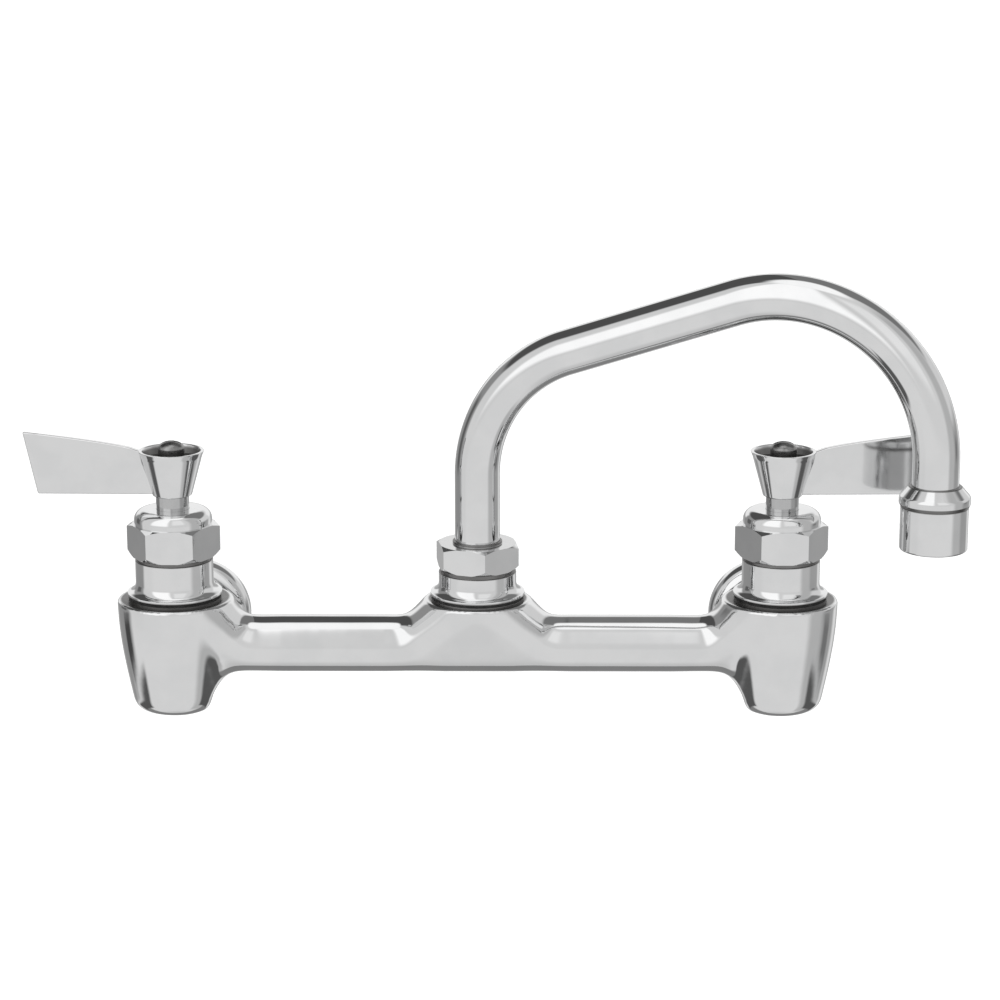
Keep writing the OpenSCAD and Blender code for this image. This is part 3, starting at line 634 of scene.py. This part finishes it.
def left_arch_web():
    """Quarter bend along the arch, from the cross tube's underside down into the pot."""
    centre_x = -(HALF_CENTRES - ARCH_SET - ARCH_R)
    centre_z = TUBE_Z - TUBE_R - ARCH_R
    section_r = TUBE_R - 0.3
    begin()
    bpy.ops.mesh.primitive_circle_add(vertices=48, radius=section_r * MM, fill_type="NGON",
                                      location=(centre_x * MM, AXIS_Y * MM, TUBE_Z * MM),
                                      rotation=(0, math.radians(90), 0))
    web = settle("left_arch_web")
    bpy.ops.object.mode_set(mode="EDIT")
    bpy.ops.mesh.select_all(action="SELECT")
    bpy.ops.mesh.spin(steps=24, angle=math.radians(90), center=(centre_x * MM, AXIS_Y * MM, centre_z * MM),
                      axis=(0, 1, 0))
    merge_and_face_out()
    bpy.ops.object.mode_set(mode="OBJECT")
    return web


def left_shoulder():
    """Shoulder from the left pot's deck down to the cross tube."""
    start = -(HALF_CENTRES - POT_TOP_R - SHOULDER_RUN)
    return spread("left_shoulder", [
        post("left_shoulder_rim", POT_TOP_R, DECK_Z - RIM_H, DECK_Z, at=(-HALF_CENTRES, AXIS_Y)),
        bar("left_shoulder_foot", TUBE_R, start - RIM_H / 2, start + RIM_H / 2, TUBE_Z),
    ])


def centre_boss():
    """Centre boss, spread from its deck to the cross tube on both sides."""
    return spread("centre_boss", [
        post("boss_rim", BOSS_R, DECK_Z - RIM_H, DECK_Z, at=(0, AXIS_Y)),
        bar("boss_left_foot", TUBE_R, -BOSS_RUN - RIM_H / 2, -BOSS_RUN + RIM_H / 2, TUBE_Z),
        bar("boss_right_foot", TUBE_R, BOSS_RUN - RIM_H / 2, BOSS_RUN + RIM_H / 2, TUBE_Z),
    ])


def rise_and_fall(value, rise_from, rise_to, fall_from, fall_to):
    """Share that rises from 0 to 1 between two values, and falls back to 0 between two others."""
    rise = (value - rise_from) / (rise_to - rise_from)
    fall = (fall_to - value) / (fall_to - fall_from)
    return max(min(rise, fall, 1), 0)


def blend_casting(casting):
    """Runs the casting's parts together: one skin, softest where the tube meets the pots and the boss."""
    apply_modifier(casting, "REMESH", mode="VOXEL", voxel_size=GRAIN * MM, use_smooth_shade=True)
    choose(casting)
    fillet_top = DECK_Z - 1.6
    bpy.ops.object.mode_set(mode="EDIT")
    bpy.ops.mesh.select_mode(type="VERT")
    bpy.ops.object.mode_set(mode="OBJECT")
    for vertex in casting.data.vertices:
        vertex.select = vertex.co.z < fillet_top * MM
    bpy.ops.object.mode_set(mode="EDIT")
    bpy.ops.mesh.vertices_smooth(factor=0.5, repeat=24)
    bpy.ops.mesh.select_all(action="SELECT")
    bpy.ops.mesh.vertices_smooth(factor=0.5, repeat=5)
    bpy.ops.object.mode_set(mode="OBJECT")
    soft = casting.vertex_groups.new(name="soft")
    soft_top = DECK_Z - 0.8
    soft_depth = 2.5
    for vertex in casting.data.vertices:
        out = abs(vertex.co.x) / MM
        boss_side = rise_and_fall(out, 11, 18, 23, 31)
        pot_side = rise_and_fall(HALF_CENTRES - out, 4, 14, 26, 36)
        below = min(max((soft_top - vertex.co.z / MM) / soft_depth, 0), 1)
        weight = max(boss_side, pot_side) * below
        if weight > 0:
            soft.add([vertex.index], weight, "REPLACE")
    apply_modifier(casting, "SMOOTH", factor=0.5, iterations=90, vertex_group="soft")


def valve_bore():
    """Tool for the chambers of the left valve: thread socket, upper chamber, seat hole and sump."""
    socket_r = SPIGOT_R + SOCKET_GAP
    socket_floor = SPIGOT_Z - SOCKET_GAP
    return turned("valve_bore", [
        (0, RING_TOP + OVERCUT), (socket_r, RING_TOP + OVERCUT), (socket_r, socket_floor),
        (CHAMBER_R, socket_floor), (CHAMBER_R, WEB_Z), (SEAT_HOLE_R, WEB_Z), (SEAT_HOLE_R, SUMP_TOP),
        (SUMP_R, SUMP_TOP), (SUMP_R, SUMP_FLOOR), (0, SUMP_FLOOR),
    ], at=(-HALF_CENTRES, AXIS_Y), closed=False)


def inlet_bore():
    """Tools for the left inlet: its waterway, and the port from it into the sump."""
    return [
        bar("stub_bore", STUB_BORE_R, STUB_END - 1, -AXIS_Y - CHAMBER_R - 1, 0, along="Y", at=-HALF_CENTRES),
        bar("inlet_port", PORT_R, -AXIS_Y - POT_TOP_R, -AXIS_Y, PORT_Z, along="Y", at=-HALF_CENTRES),
    ]


def left_ring():
    """Raised ring that the left sleeve's gasket sits on."""
    return post("left_ring", RING_R, DECK_Z - RIM_H, RING_TOP, at=(-HALF_CENTRES, AXIS_Y))


def body_casting(finish):
    """Body casting: two pots, cross tube, centre boss, arches and inlet stubs, bored through."""
    left_parts = [left_pot(), left_arch_web(), left_shoulder(),
                  bar("left_stub", STUB_R, STUB_END, -AXIS_Y, 0, along="Y", at=-HALF_CENTRES)]
    right_parts = [mirrored(part, part.name.replace("left", "right")) for part in left_parts]
    cross_tube = bar("cross_tube", TUBE_R, -HALF_CENTRES, HALF_CENTRES, TUBE_Z)
    casting = joined("casting", [cross_tube, centre_boss(), *left_parts, *right_parts])
    blend_casting(casting)
    ring = left_ring()
    rings = [ring, copied(ring, "centre_ring", (HALF_CENTRES, 0, 0)),
             copied(ring, "right_ring", (2 * HALF_CENTRES, 0, 0))]
    for part in rings:
        carve(casting, part, "UNION")
    bore = valve_bore()
    tools = [bore, copied(bore, "right_valve_bore", (2 * HALF_CENTRES, 0, 0))]
    for tool in inlet_bore():
        tools += [tool, copied(tool, "right_" + tool.name, (2 * HALF_CENTRES, 0, 0))]
    tools.append(post("centre_bore", SPIGOT_R + SOCKET_GAP, SPIGOT_Z - SOCKET_GAP, RING_TOP + OVERCUT,
                      at=(0, AXIS_Y)))
    tools.append(post("centre_feed", CROSS_BORE_R, TUBE_Z, SPIGOT_Z, at=(0, AXIS_Y)))
    tools.append(bar("cross_bore", CROSS_BORE_R, -CROSS_BORE_END, CROSS_BORE_END, TUBE_Z))
    for tool in tools:
        carve(casting, tool)
    choose(casting)
    bpy.ops.object.shade_smooth_by_angle(angle=math.radians(40))
    stands_for(casting, "body_casting", finish)


# Valve stacks, modelled on the left valve's axis

BONNET_BORE_R = 11.55
NECK_BORE_R = 5.56
SCREW_R = 2.0
SCREW_GAP = 0.05
SPLINE_R = 4.5
NUT_EDGE = 0.3


def sleeve_skirt(top):
    """Outside of a sleeve or adapter: flared rim, concave skirt, upright collar, groove under the nut."""
    flare_top = RIM_Z + 4.5
    flare_edge = RIM_Z + 1.1
    skirt = quarter_curve((COLLAR_R, flare_top), (FLARE_R, flare_edge), bulge_first=True)
    return [(SPIGOT_R, SPIGOT_Z), (SPIGOT_R, RIM_Z), (FLARE_R, RIM_Z, 0.4)] + skirt[::-1] + [
        (COLLAR_R, top - GROOVE_H, 0.25), (GROOVE_R, top - GROOVE_H, 0.2), (GROOVE_R, top),
    ]


def valve_sleeve():
    """Sleeve that carries the stem, with its thread for the bonnet nut."""
    thread_r = BONNET_BORE_R - SOCKET_GAP
    thread_top = 45.0
    roof = 41.0
    stem_bore_r = 7.56
    outline = sleeve_skirt(BONNET_Z) + [
        (thread_r, BONNET_Z), (thread_r, thread_top), (NECK_BORE_R, thread_top), (NECK_BORE_R, roof),
        (stem_bore_r, roof), (stem_bore_r, SPIGOT_Z),
    ]
    return polish(turned("left_sleeve_visual", outline, at=(-HALF_CENTRES, AXIS_Y)))


def hexagon(name, across_flats, low, high, turn, at):
    """Upright hexagonal prism, its corners trimmed by cones, steep at the lower end and flat at the upper."""
    begin()
    bpy.ops.mesh.primitive_cylinder_add(vertices=6, radius=across_flats / 2 / math.cos(math.radians(30)) * MM,
                                        depth=(high - low) * MM, rotation=(0, 0, math.radians(turn)),
                                        location=(at[0] * MM, at[1] * MM, (low + high) / 2 * MM))
    prism = settle(name)
    land_r = across_flats / 2 + 0.25
    upper_trim_share = 1.7
    past_end = 0.01
    half = (high - low) / 2
    trim = turned("corner_trim", [
        (0, low - past_end), (land_r, low - past_end), (land_r + half, (low + high) / 2),
        (land_r + half, high - half / upper_trim_share), (land_r, high + past_end), (0, high + past_end),
    ], at=at, closed=False)
    return carve(prism, trim, "INTERSECT")


def bonnet_nut():
    """Hexagonal nut with a round, rolled-over cap."""
    at = (-HALF_CENTRES, AXIS_Y)
    across_flats = 27.0
    cap_r = 13.0
    cap_round = 3.6
    roof = CAP_TOP - 3.4
    nut = hexagon("left_bonnet_visual", across_flats, BONNET_Z, CAP_Z, 30, at)
    polish(nut, angle=25, width=NUT_EDGE)
    crown = quarter_curve((cap_r, CAP_TOP - cap_round), (cap_r - cap_round, CAP_TOP))
    cap = turned("cap", [(0, CAP_Z - 1), (cap_r, CAP_Z - 1)] + crown + [(0, CAP_TOP)], at=at, closed=False)
    carve(nut, cap, "UNION")
    carve(nut, turned("bonnet_bore", [
        (0, BONNET_Z - OVERCUT), (BONNET_BORE_R, BONNET_Z - OVERCUT), (BONNET_BORE_R, roof),
        (NECK_BORE_R, roof),
        (NECK_BORE_R, CAP_TOP + OVERCUT), (0, CAP_TOP + OVERCUT),
    ], at=at, closed=False))
    return polish(nut, angle=25)


def stem():
    """Stem with its thread, its neck and the splined tip under the handle."""
    foot = 12.96
    socket_roof = 19.96
    socket_r = 3.56
    shank_r = 6.0
    thread_low = 28.0
    thread_top = 38.0
    thread_r = 7.5
    tip = 66.6
    hole_floor = 59.55
    hole_r = SCREW_R + SCREW_GAP
    return polish(turned("left_stem_visual", [
        (0, socket_roof), (socket_r, socket_roof), (socket_r, foot), (shank_r, foot), (shank_r, thread_low),
        (thread_r, thread_low, 0.4), (thread_r, thread_top, 0.4), (NECK_R, thread_top), (NECK_R, HUB_Z),
        (SPLINE_R, HUB_Z), (SPLINE_R, tip), (hole_r, tip), (hole_r, hole_floor), (0, hole_floor),
    ], at=(-HALF_CENTRES, AXIS_Y), closed=False))


BLADE_REACH = 49.2
BLADE_LOW_REACH = 44.7
BLADE_FOOT = 59.1
BLADE_T = 3.6
BLADE_RISE = 6.2
HUB_R = 11.0


def thin_towards_tip(blade):
    """In edit mode: draws the blade's two faces together towards its tip, place by place."""
    places = sorted({round(vertex.co.x / MM, 3) for vertex in blade.data.vertices})
    bpy.ops.mesh.select_mode(type="VERT")
    for place in places:
        bpy.ops.mesh.select_all(action="DESELECT")
        bpy.ops.object.mode_set(mode="OBJECT")
        for vertex in blade.data.vertices:
            vertex.select = abs(vertex.co.x / MM - place) < 0.002
        bpy.ops.object.mode_set(mode="EDIT")
        share = 1 + place / BLADE_REACH * 0.5
        bpy.ops.transform.resize(value=(1, share, 1), center_override=(0, 0, 0))


def lever_handle():
    """Lever handle: conical hub with a dished top, and a flat blade that rises to its tip."""
    at = (-HALF_CENTRES, AXIS_Y)
    foot_r = 6.5
    cone_r = 10.2
    lip_z = HUB_TOP - 1.9
    dish_floor_r = 8.6
    dish_floor = HUB_TOP - DISH_DEPTH
    post_r = 4.4
    post_top = HUB_TOP - 0.2
    hole_r = SCREW_R + SCREW_GAP
    socket_r = SPLINE_R + SCREW_GAP
    socket_roof = 66.65
    hub = turned("left_lever_visual", [
        (foot_r, HUB_Z, 0.5), (cone_r, lip_z, 0.5), (HUB_R, HUB_TOP, 0.35), (DISH_R, HUB_TOP, 0.3),
        (dish_floor_r, dish_floor, 0.5), (post_r, dish_floor, 0.3), (post_r, post_top), (hole_r, post_top),
        (hole_r, socket_roof), (socket_r, socket_roof), (socket_r, HUB_Z),
    ], at=at)
    rise = []
    steps = 14
    for step in range(steps, -1, -1):
        t = step / steps
        rise.append((-(HUB_R + (BLADE_REACH - HUB_R) * t), HUB_TOP + BLADE_RISE * t ** 0.7))
    root = [(-10.4, HUB_TOP - 0.02), (-9.6, HUB_TOP - 4)]
    outline = [(-5.6, BLADE_FOOT), (-BLADE_LOW_REACH, BLADE_FOOT)] + rise + root
    blade = traced("blade", outline)
    bpy.ops.object.mode_set(mode="EDIT")
    bpy.ops.mesh.select_all(action="SELECT")
    bpy.ops.mesh.edge_face_add()
    bpy.ops.mesh.extrude_region_move(TRANSFORM_OT_translate={"value": (0, BLADE_T * MM, 0)})
    bpy.ops.mesh.select_all(action="SELECT")
    bpy.ops.mesh.normals_make_consistent(inside=False)
    bpy.ops.transform.translate(value=(0, -BLADE_T / 2 * MM, 0))
    thin_towards_tip(blade)
    bpy.ops.mesh.select_all(action="SELECT")
    bpy.ops.transform.translate(value=(at[0] * MM, at[1] * MM, 0))
    bpy.ops.object.mode_set(mode="OBJECT")
    apply_modifier(blade, "BEVEL", width=0.55 * MM, segments=3, limit_method="ANGLE",
                   angle_limit=math.radians(40))
    carve(hub, blade, "UNION")
    return polish(hub, angle=30)


def handle_screw():
    """Domed screw with a slot, which holds the lever on its stem."""
    at = (-HALF_CENTRES, AXIS_Y)
    foot = 59.6
    head_r = 4.4
    head_z = HUB_TOP + 0.7
    head_top = head_z + 2.4
    slot_w = 0.9
    slot_middle = head_top + 0.54
    dome = quarter_curve((head_r, head_z), (0.0, head_top))
    shank = [(0, foot), (SCREW_R, foot), (SCREW_R, head_z)]
    screw = turned("left_screw_visual", shank + dome, at=at, closed=False)
    begin()
    bpy.ops.mesh.primitive_cube_add(size=1, location=(at[0] * MM, at[1] * MM, slot_middle * MM),
                                    scale=(10 * MM, slot_w * MM, 3 * MM))
    carve(screw, settle("slot_tool"))
    return polish(screw, angle=30)


def both_valves(finishes):
    """The pieces of the left valve and their copies on the right one, each with its finish."""
    stack = [
        (valve_sleeve(), "valve_sleeve", "sleeve", "chrome", False),
        (bonnet_nut(), "bonnet_nut", "turned", "chrome", False),
        (stem(), "stem", "stem", "chrome", False),
        (lever_handle(), "lever_handle", "lever", "chrome", True),
        (handle_screw(), "handle_screw", "steel", "plain_steel", False),
    ]
    for piece, node, finish, slot, flips in stack:
        right_name = piece.name.replace("left", "right")
        twin = mirrored(piece, right_name) if flips else copied(piece, right_name, (2 * HALF_CENTRES, 0, 0))
        if flips:
            polish(twin, angle=30)
        stands_for(piece, "left_" + node, finishes[finish])
        stands_for(twin, "right_" + node, finishes[finish])


# Wall inlets, as (distance from the pipe's axis, distance from the wall)

UNION_R = 12.0
UNION_GAP = 0.05


def wall_flange():
    """Round flange with a domed front, its pipe thread and the union thread in front."""
    pipe_r = 9.9
    pipe_end = 14.0
    disc_r = 19.7
    disc_t = 7.5
    dome = 5.0
    union_end = 19.0
    bore_r = 6.5
    front = quarter_curve((disc_r, disc_t - dome), (disc_r - dome, disc_t))
    outline = [(pipe_r, 0), (disc_r, 0, 0.3)] + front + [
        (UNION_R, disc_t), (UNION_R, union_end), (bore_r, union_end), (bore_r, pipe_end), (pipe_r, pipe_end),
    ]
    return polish(turned("left_flange_visual", outline, at=(-HALF_CENTRES, 0), upright=False))


def coupling_nut():
    """Hexagonal coupling nut with trimmed corners at both ends."""
    near = 8.5
    far = 26.35
    middle = (near + far) / 2
    across_flats = 28.6
    land = across_flats / 2 + 0.25
    trim_run = 4
    bore_r = UNION_R + UNION_GAP
    roof = 23.35
    stub_bore_r = STUB_R + UNION_GAP
    on_pipe = {"at": (-HALF_CENTRES, 0), "upright": False, "closed": False}
    begin()
    bpy.ops.mesh.primitive_cylinder_add(vertices=6, radius=across_flats / 2 / math.cos(math.radians(30)) * MM,
                                        depth=(far - near) * MM,
                                        location=(-HALF_CENTRES * MM, -middle * MM, 0),
                                        rotation=(math.radians(90), math.radians(30), 0))
    nut = settle("left_coupling_visual")
    trim = turned("trim", [
        (0, near), (land, near), (land + trim_run, near + trim_run), (land + trim_run, far - trim_run),
        (land, far), (0, far),
    ], **on_pipe)
    carve(nut, trim, "INTERSECT")
    polish(nut, angle=25, width=NUT_EDGE)
    carve(nut, turned("coupling_bore", [
        (0, near - OVERCUT), (bore_r, near - OVERCUT), (bore_r, roof), (stub_bore_r, roof),
        (stub_bore_r, far + OVERCUT), (0, far + OVERCUT),
    ], **on_pipe))
    return polish(nut, angle=25)


def both_inlets(finishes):
    """The flange and coupling nut of the left inlet, and their copies on the right one."""
    for piece, node in ((wall_flange(), "wall_flange"), (coupling_nut(), "coupling_nut")):
        twin = copied(piece, piece.name.replace("left", "right"), (2 * HALF_CENTRES, 0, 0))
        stands_for(piece, "left_" + node, finishes["turned"])
        stands_for(twin, "right_" + node, finishes["turned"])


# Spout

ADAPTER_THREAD_R = 11.2
SPOUT_BORE_R = 7.56
TAIL_GAP = 0.05


def outlet_adapter():
    """Adapter that the spout turns in, with its grooves for the two seals."""
    end = 36.9
    groove_r = 9.5
    groove_h = 2.1
    grooves = (30.0, 25.0)
    stop_z = 20.44
    feed_r = 6.3
    inside = [(SPOUT_BORE_R, end)]
    for low in grooves:
        high = low + groove_h
        inside += [(SPOUT_BORE_R, high), (groove_r, high), (groove_r, low), (SPOUT_BORE_R, low)]
    inside += [(SPOUT_BORE_R, stop_z), (feed_r, stop_z), (feed_r, SPIGOT_Z)]
    thread = [(ADAPTER_THREAD_R, SWIVEL_Z), (ADAPTER_THREAD_R, end)]
    return polish(turned("adapter_visual", sleeve_skirt(SWIVEL_Z) + thread + inside, at=(0, AXIS_Y)))


def swivel_nut():
    """Hexagonal nut that holds the spout, with trimmed corners and a low lip round the tube."""
    at = (0, AXIS_Y)
    across_flats = 25.4
    turn = 10.5
    lip_r = 8.3
    lip_top = SWIVEL_TOP + 0.8
    lip_root = SWIVEL_TOP - 1.5
    thread_r = ADAPTER_THREAD_R + TAIL_GAP
    roof = 40.2
    nut = hexagon("swivel_nut_visual", across_flats, SWIVEL_Z, SWIVEL_TOP, turn, at)
    polish(nut, angle=25, width=NUT_EDGE)
    lip = turned("nut_lip", [(0, lip_root), (lip_r, lip_root), (lip_r, lip_top, 0.25), (0, lip_top)],
                 at=at, closed=False)
    carve(nut, lip, "UNION")
    carve(nut, turned("swivel_bore", [
        (0, SWIVEL_Z - OVERCUT), (thread_r, SWIVEL_Z - OVERCUT), (thread_r, roof), (SPOUT_BORE_R, roof),
        (SPOUT_BORE_R, SWIVEL_TOP + 2 * OVERCUT), (0, SWIVEL_TOP + 2 * OVERCUT),
    ], at=at, closed=False))
    return polish(nut, angle=25)


def spout_tube():
    """Spout tube: a ring at its foot, drawn up the riser, spun round the bends and drawn down the leg."""
    slope = math.radians(19.2)
    riser_top = 65.8
    first_bend = 45.5
    straight = 58.684
    second_bend = 50.0
    begin()
    bpy.ops.mesh.primitive_circle_add(vertices=64, radius=SPOUT_R * MM, fill_type="NOTHING",
                                      location=(0, 0, SPOUT_FOOT * MM))
    tube = settle("spout_tube_visual")
    bpy.ops.object.mode_set(mode="EDIT")
    bpy.ops.mesh.select_all(action="SELECT")

    def draw(run, rise):
        bpy.ops.mesh.extrude_region_move(TRANSFORM_OT_translate={"value": (run * MM, 0, rise * MM)})

    def bend(centre_x, centre_z, angle, steps):
        bpy.ops.mesh.spin(steps=steps, angle=angle, center=(centre_x * MM, 0, centre_z * MM),
                          axis=(0, -1, 0))

    draw(0, riser_top - SPOUT_FOOT)
    bend(first_bend, riser_top, math.radians(90) - slope, 48)
    draw(straight * math.cos(slope), straight * math.sin(slope))
    end_x = first_bend * (1 - math.sin(slope)) + straight * math.cos(slope)
    end_z = riser_top + first_bend * math.cos(slope) + straight * math.sin(slope)
    centre_x = end_x + second_bend * math.sin(slope)
    centre_z = end_z - second_bend * math.cos(slope)
    bend(centre_x, centre_z, math.radians(90) + slope, 72)
    draw(0, BAND_FOOT - centre_z)
    merge_and_face_out()
    bpy.ops.transform.rotate(value=-PARK_ANGLE, orient_axis="Z", center_override=(0, 0, 0))
    bpy.ops.transform.translate(value=(0, AXIS_Y * MM, 0))
    bpy.ops.object.mode_set(mode="OBJECT")
    apply_modifier(tube, "SOLIDIFY", thickness=SPOUT_WALL * MM, offset=-1, use_even_offset=True)
    return polish(tube, angle=40)


def on_outlet():
    """Place of the outlet's axis."""
    return (REACH * math.cos(PARK_ANGLE), AXIS_Y + REACH * math.sin(PARK_ANGLE))


def outlet_ferrule():
    """Ferrule brazed on the spout's leg, with a conical shoulder and a bevelled foot."""
    tube_bore_r = SPOUT_R + TAIL_GAP
    top_r = 8.4
    band_r = 11.4
    bevel_r = 10.925
    thread_r = 9.5
    end = 60.9
    bore_r = 6.3
    return polish(turned("ferrule_visual", [
        (tube_bore_r, FERRULE_TOP), (top_r, FERRULE_TOP, 0.25), (band_r, BAND_TOP, 0.7),
        (band_r, BAND_FOOT, 0.2), (bevel_r, FERRULE_FOOT), (thread_r, FERRULE_FOOT), (thread_r, end),
        (bore_r, end), (bore_r, BAND_FOOT), (tube_bore_r, BAND_FOOT),
    ], at=on_outlet()))


def aerator_housing():
    """Aerator housing with a rounded lower edge and an inward lip."""
    thread_r = 9.55
    outer_r = 10.8
    edge_round = 0.8
    lip_r = 7.6
    lip_top = HOUSING_FOOT + 1.4
    edge = quarter_curve((outer_r, HOUSING_FOOT + edge_round), (outer_r - edge_round, HOUSING_FOOT))
    outline = [(thread_r, FERRULE_FOOT), (outer_r, FERRULE_FOOT, 0.3)] + edge + [
        (lip_r, HOUSING_FOOT, 0.2), (lip_r, lip_top), (thread_r, lip_top),
    ]
    return polish(turned("aerator_visual", outline, at=on_outlet()))


def spout(finishes):
    """The adapter, swivel nut, spout tube and outlet."""
    stands_for(outlet_adapter(), "outlet_adapter", finishes["adapter"])
    stands_for(swivel_nut(), "swivel_nut", finishes["swivel"])
    stands_for(spout_tube(), "spout_tube", finishes["tube"])
    stands_for(outlet_ferrule(), "outlet_ferrule", finishes["outlet"])
    stands_for(aerator_housing(), "aerator_housing", finishes["outlet"])


# Pieces whose CAD shape is already right

def finish_inner_pieces(finishes):
    """Finishes of the inner pieces, whose solids stay as they are."""
    inner = {
        "gasket": "rubber", "washer_screw": "brass", "seat_washer": "rubber", "inlet_washer": "rubber",
        "orings": "rubber", "packing_washer": "brass", "bearing_washer": "plastic", "lock_washer": "steel",
        "aerator_washer": "rubber", "aerator_insert": "plastic", "aerator_screen": "screen",
        "snap_ring": "steel", "retaining_ring": "brass", "disc_holder": "brass", "packing": "fibre",
        "seat": "brass",
    }
    for node, piece in frame["nodes"].items():
        finish = next((f for ending, f in inner.items() if node.endswith(ending)), "turned")
        piece.data.materials.clear()
        piece.data.materials.append(finishes[finish])


# Studio

def light_world():
    """Studio round the faucet, by zones of turn and climb in degrees: light boxes, dark flags, pale floor."""
    world = bpy.data.worlds.new("studio")
    world.use_nodes = True
    bpy.context.scene.world = world
    nodes = Nodes(world.node_tree)
    x, y, z = nodes.split(nodes.add("ShaderNodeTexCoord", output="Generated"))
    turn = x.math("ARCTAN2", 0 - y) * math.degrees(1)
    climb = z.math("ARCSINE") * math.degrees(1)
    either_side = turn.math("ABSOLUTE")

    def within(angle, low, high, soft):
        """1 between two angles, with soft edges; None leaves an end open."""
        mask = 1
        if low is not None:
            mask = angle.between(low - soft, low + soft) * mask
        if high is not None:
            mask = (1 - angle.between(high - soft, high + soft)) * mask
        return mask

    # Each zone: its turns and their softness, its climbs and their softness, and its level
    zones = [
        ("pale floor", None, None, None, 0, None, -8, 4, 0.82),
        ("floor underneath", None, None, None, 0, None, -72, 12, 0.66),
        ("shade behind and below", either_side, 95, None, 10, None, -38, 5, 0.26),
        ("left screen", turn, -95, -62, 8, -20, 60, 8, 0.78),
        ("right screen", turn, 58, 95, 8, -60, 60, 8, 0.54),
        ("left light box", turn, -62, -10, 6, 2, 76, 8, 1.24),
        ("right light box", turn, 3, 40, 6, 14, 62, 8, 0.96),
        ("left flag", turn, -168, -97, 6, -28, 44, 4, 0.32),
        ("right flag", turn, 90, 132, 6, -30, 2, 5, 0.40),
        ("dark strip on the right", turn, 98, 114, 4, -12, -4, 3, 0.22),
        ("lower dark strip on the right", turn, 98, 116, 4, -28, -18, 3, 0.20),
        ("pale wall behind", either_side, 142, None, 6, 3, 23, 4, 1.0),
        ("dark ceiling behind on the left", turn, None, -95, 8, 27, None, 3, 0.09),
        ("dark ceiling behind on the right", turn, 100, None, 10, 29, None, 4, 0.22),
        ("overhead light box", None, None, None, 0, 73, None, 4, 1.20),
        ("lower dark strip on the left", turn, -122, -103, 3, -27, -18, 2, 0.07),
        ("dark strip on the left", turn, -127, -108, 4, -12, 12, 3, 0.13),
        ("grey skirting behind", either_side, 150, None, 6, -28, 0, 5, 0.45),
        ("dark gaps beside the floor", either_side, 76, 140, 5, -46, -31, 2, 0.11),
    ]
    level = 0.77
    for _, around, first, last, turn_soft, low, high, climb_soft, value in zones:
        mask = within(climb, low, high, climb_soft)
        if around is not None:
            mask = mask * within(around, first, last, turn_soft)
        level = level * (1 - mask) + value * mask
    # Plain pale backdrop behind the faucet, from every side
    seen = nodes.add("ShaderNodeLightPath", output="Is Camera Ray")
    level = level * (1 - seen) + 1.0 * seen
    tint = nodes.add("ShaderNodeCombineColor", None, {"Red": level, "Green": level, "Blue": level})
    background = nodes.add("ShaderNodeBackground", None, {"Color": tint, "Strength": 1.0})
    nodes.add("ShaderNodeOutputWorld", None, {"Surface": background})


def lay_floor():
    """Plain pale floor, far enough below that the faucet casts nothing on it; sizes in metres."""
    across = 24
    place = (0, 2, -0.30)
    begin()
    bpy.ops.mesh.primitive_plane_add(size=across, location=place)
    floor = settle("studio_floor")
    constants = {"Roughness": 0.9, "Emission Color": (1, 1, 1, 1), "Emission Strength": 0.62}

    def paint(nodes):
        clouds = nodes.noise(400, detail=1)
        return {"Base Color": nodes.blend(clouds, grey(0.80), grey(0.82))}
    floor.data.materials.append(finish_material("pale_floor", constants, paint))
    floor.visible_glossy = False


def make_finishes():
    """Every finish of the faucet, by the name that the pieces ask for."""
    return {
        "casting": chrome("cast_chrome", 9, 0.035, 14, 0.045, 0.085, deck_crevice_shade),
        "turned": chrome("turned_chrome", 6, 0.008, 9, 0.03, 0.07),
        "sleeve": chrome("sleeve_chrome", 6, 0.008, 9, 0.03, 0.07, collar_crevice_shade(BONNET_Z)),
        "adapter": chrome("adapter_chrome", 6, 0.008, 9, 0.03, 0.07, collar_crevice_shade(SWIVEL_Z)),
        "swivel": chrome("swivel_chrome", 6, 0.008, 9, 0.03, 0.07, lip_crevice_shade),
        "outlet": chrome("outlet_chrome", 6, 0.008, 9, 0.03, 0.07, outlet_crevice_shade),
        # Stems: a darker copy of the chrome, level 0.52, as painted shade on their necks
        "stem": chrome("stem_chrome", 4, 0.01, 5, 0.06, 0.12, None, 0.52),
        "tube": chrome("tube_chrome", 14, 0.012, 12, 0.03, 0.07),
        "lever": chrome("lever_chrome", 8, 0.02, 10, 0.05, 0.10, dish_crevice_shade),
        "steel": plain_steel(),
        "screen": woven_steel(),
        "brass": turned_brass(),
        "rubber": black_rubber(),
        "fibre": packed_fibre(),
        "plastic": white_plastic(),
    }


bpy.context.scene.view_settings.view_transform = "Standard"
place_camera()
light_world()
lay_floor()
finishes = make_finishes()
finish_inner_pieces(finishes)
body_casting(finishes["casting"])
both_valves(finishes)
both_inlets(finishes)
spout(finishes)
